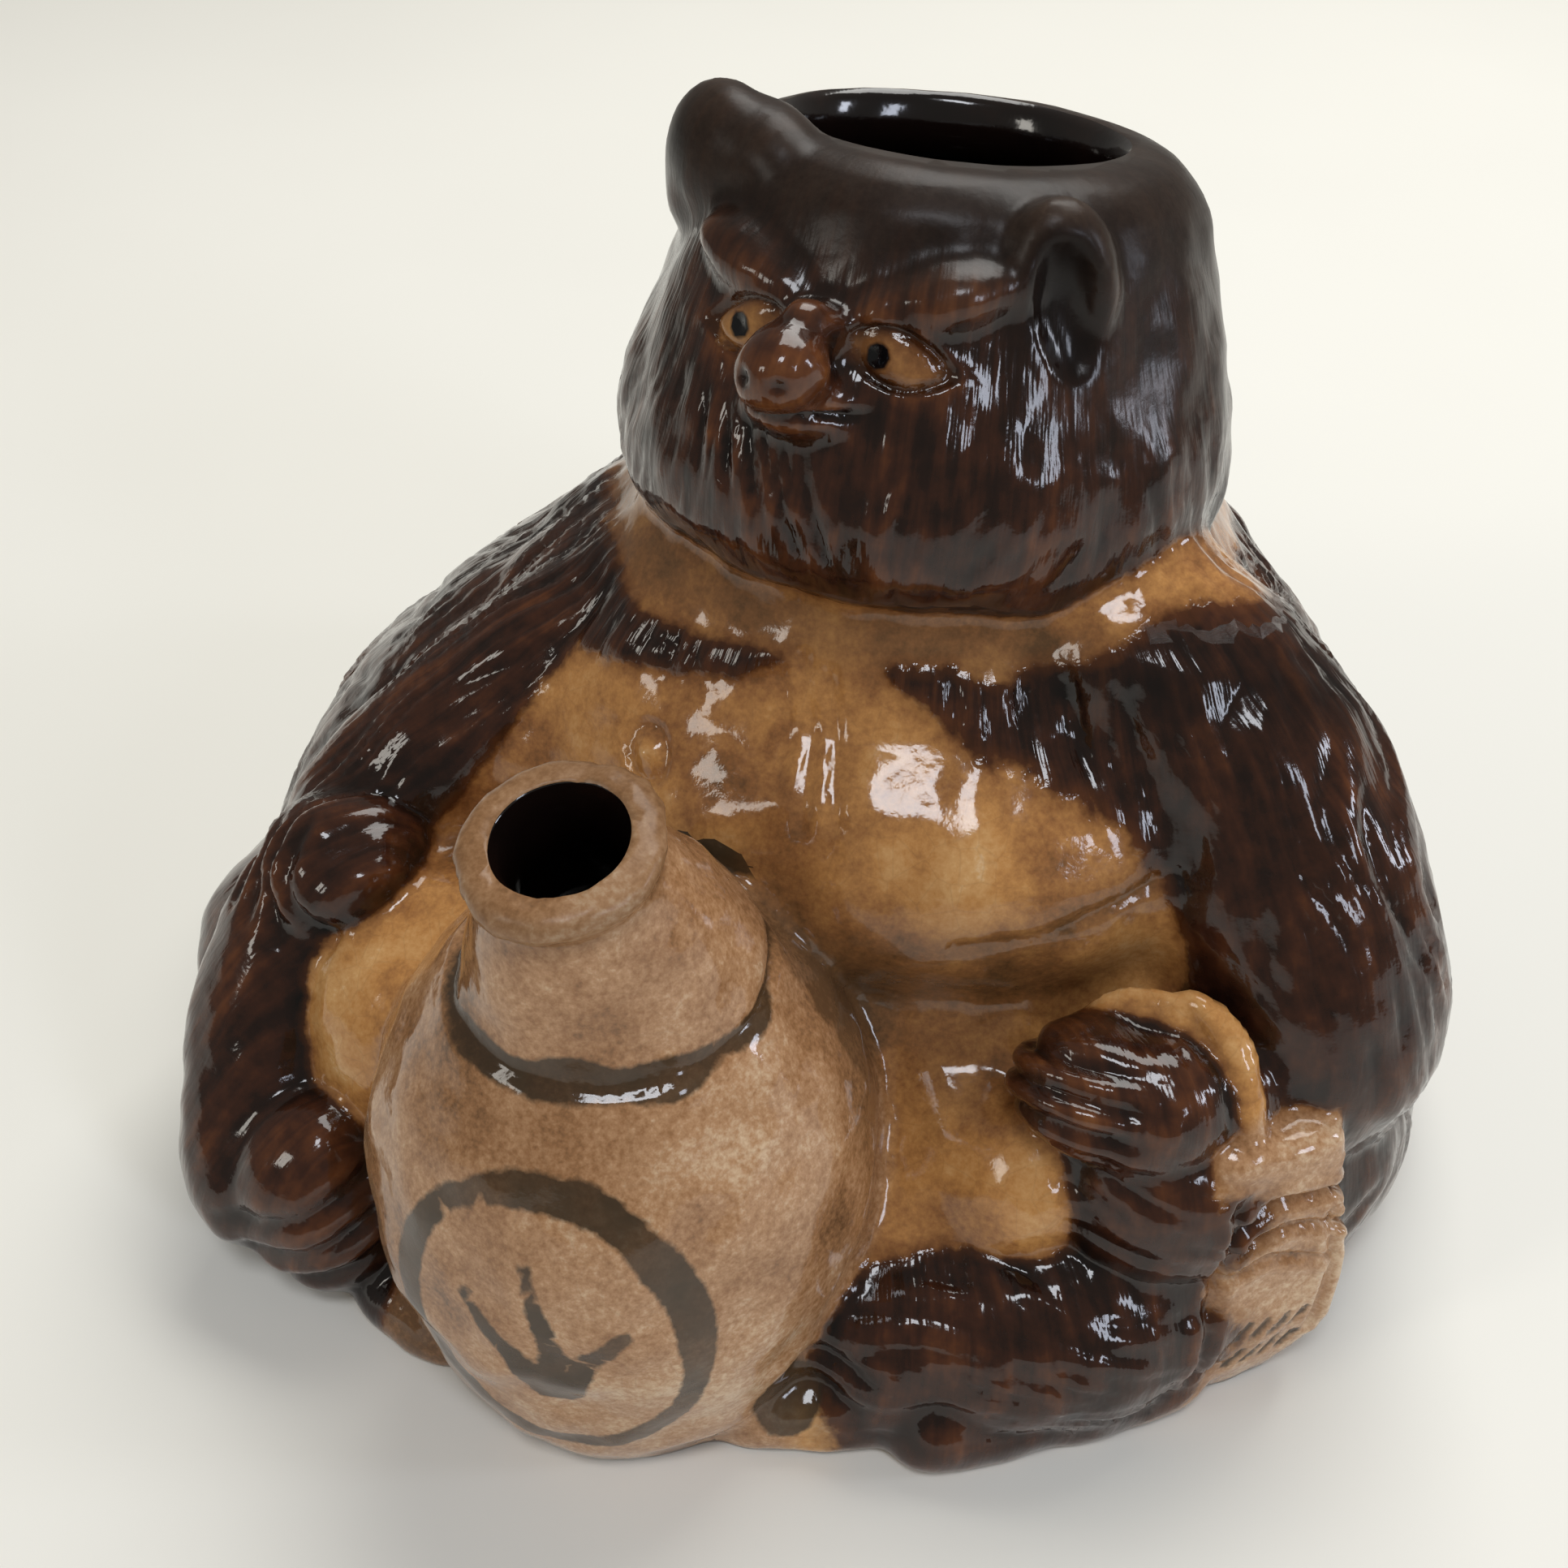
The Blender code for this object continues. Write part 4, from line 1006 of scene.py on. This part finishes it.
flaskForms = [turned(flaskProfile(), flaskFrame), turned(neckProfile(), neckFrame)]
soften = skinPlan["smoothing"]
body = fused(bodyForms(), skinPlan["bodyGrain"], soften["body"])
outside = fused([body] + flaskForms + headForms() + limbForms(), skinPlan["grain"], soften["joins"])
for scoop in headShape["earScoops"]:
    outside = cutAway(outside, oval(*scoop, headFrame))
outside = fused([outside], skinPlan["grain"], soften["ears"])
print("skin fused:", len(outside.polygons), "faces")

refined(outside, *skinPlan["fineFace"])
places = pointsOf(outside)
places += normalsOf(outside) * carvedBy(places)[:, None]
outside.vertices.foreach_set("co", places.ravel())
outside.update()
outside = thinned(outside, skinPlan["faces"])
stoodFlat(outside)
outside.materials.clear()
outside.materials.append(outerGlaze)
print("skin carved:", len(outside.polygons), "faces")

flaskBore, crownBore = flaskShape["bore"], headShape["bore"]
flaskInside = [(max(radius - wall, flaskBore), max(height, wall)) for radius, height in flaskProfile()]
headInside = [(max(radius - wall, crownBore), height) for radius, height in headShape["profile"]]
hollows = [turned([(20, -24)] + headInside, headFrame), turned(flaskInside[:-1], flaskFrame)]
cavity = fused(bodyForms(wall) + hollows, skinPlan["insideGrain"], soften["inside"])
cavity = thinned(cavity, skinPlan["insideFaces"])
top, lip, throat = headShape["height"], flaskShape["neckHeight"], flaskShape["neck"] - wall
crownCutter = turned([(crownBore, 8), (crownBore, top - 3), (crownBore + 0.5, top - 1),
                      (crownBore + 1.6, top + 0.4), (crownBore + 3, top + 6)], headFrame @ crownShift)
spoutCutter = turned([(throat, -8), (throat, 0), (flaskBore, 0.6 * lip), (flaskBore, lip - 0.8),
                      (flaskBore + 0.5, lip + 0.1), (flaskBore + 1, lip + 6)], neckFrame, 64)
bottleMesh = outside
for cutter in (cavity, crownCutter, spoutCutter):
    cutter.materials.clear()
    cutter.materials.append(innerGlaze)
    bottleMesh = cutAway(bottleMesh, cutter)
print("hollowed:", len(bottleMesh.polygons), "faces")

places = pointsOf(bottleMesh)
# the pooled share holds painted shade as well as glaze run together
shares = {"ironMark": ironMarks(places), "ridge": ridgeShare(bottleMesh), "dullGlaze": dullShare(places),
          "pooledAndShaded": poolingAndShadeShare(places), **glazeEdges(places)}
for name, values in shares.items():
    keepShare(bottleMesh, name, values)
keepShare(bottleMesh, "combRun", combRun(places), "FLOAT_VECTOR")

middle = (places.min(axis=0) + places.max(axis=0)) / 2
bottleMesh.transform(Matrix.Scale(unit, 4) @ Matrix.Translation((-middle[0], -middle[1], 0)))
bottleMesh.materials.append(bareClay)
# the flat underside is bare clay
for face in bottleMesh.polygons:
    if face.normal.z < -0.9 and face.center.z < 0.0004:
        face.material_index = len(bottleMesh.materials) - 1
bottleMesh.shade_smooth()
bottle = newObject("sake_bottle_glazed", bottleMesh)
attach(bottle, "root")
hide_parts("sake_bottle")
print("bottle placed")

floorWidth = 6.0
floorForm = bmesh.new()
bmesh.ops.create_grid(floorForm, x_segments=8, y_segments=8, size=floorWidth / 2)
floorMesh = finished(floorForm)
floorMesh.materials.append(plainFinish("matteStudioPaper"))
floor = newObject("studio_floor", floorMesh)

# Windows, all aimed at the figure: azimuth (from straight in front towards its left) and height angle,
# distance, width and height, brightness, tint
lightPlan = {
    "overhead": ((176, 58), 1.0, (0.7, 0.6), 5.7, "#FFFEFA"),
    "topWindow": ((15, 66), 1.2, (0.32, 0.24), 14, "#F4F8FF"),
    "sideWindow": ((104, 18), 1.2, (0.16, 0.3), 14, "#EAF0FF"),
    "leftWindow": ((-40, 28), 1.3, (0.22, 0.36), 7.5, "#FFFAF0"),
    "rightWindow": ((62, 26), 1.2, (0.18, 0.4), 12, "#E6EEFF"),
}
for name, (angles, away, size, radiance, tint) in lightPlan.items():
    angle, lift = [math.radians(value) for value in angles]
    way = Vector((math.sin(angle) * math.cos(lift), -math.cos(angle) * math.cos(lift), math.sin(lift)))
    lamp = bpy.data.lights.new(name, "AREA")
    lamp.shape = "RECTANGLE"
    lamp.size, lamp.size_y = size
    lamp.energy = radiance * math.pi * lamp.size * lamp.size_y
    lamp.color = toLinear(tint)[:3]
    holder = newObject(name, lamp)
    holder.location = way * away + Vector((0, 0, 0.05))
    holder.rotation_euler = way.to_track_quat("Z", "Y").to_euler()

roomPlan = {"tint": "#FFFCF4", "strength": 0.20}
world = bpy.data.worlds.new("studioRoom")
world.use_nodes = True
room = world.node_tree.nodes["Background"].inputs
room["Color"].default_value = toLinear(roomPlan["tint"])
room["Strength"].default_value = roomPlan["strength"]
bpy.context.scene.world = world
bpy.context.scene.view_settings.view_transform = "Standard"

# Where the photo was taken from; its focal length and width in pixels give the lens
cameraPlan = {"place": (0.0632, -0.1657, 0.190), "turn": (50, 0, 22), "sensor": 36, "lens": 36 * 2250 / 1932}
lens = bpy.data.cameras.new("photographAngle")
lens.sensor_width = cameraPlan["sensor"]
lens.lens = cameraPlan["lens"]
camera = newObject("photographAngle", lens)
camera.location = cameraPlan["place"]
camera.rotation_euler = [math.radians(angle) for angle in cameraPlan["turn"]]
bpy.context.scene.camera = camera
print("floor, lights and camera set")

bpy.context.view_layer.update()
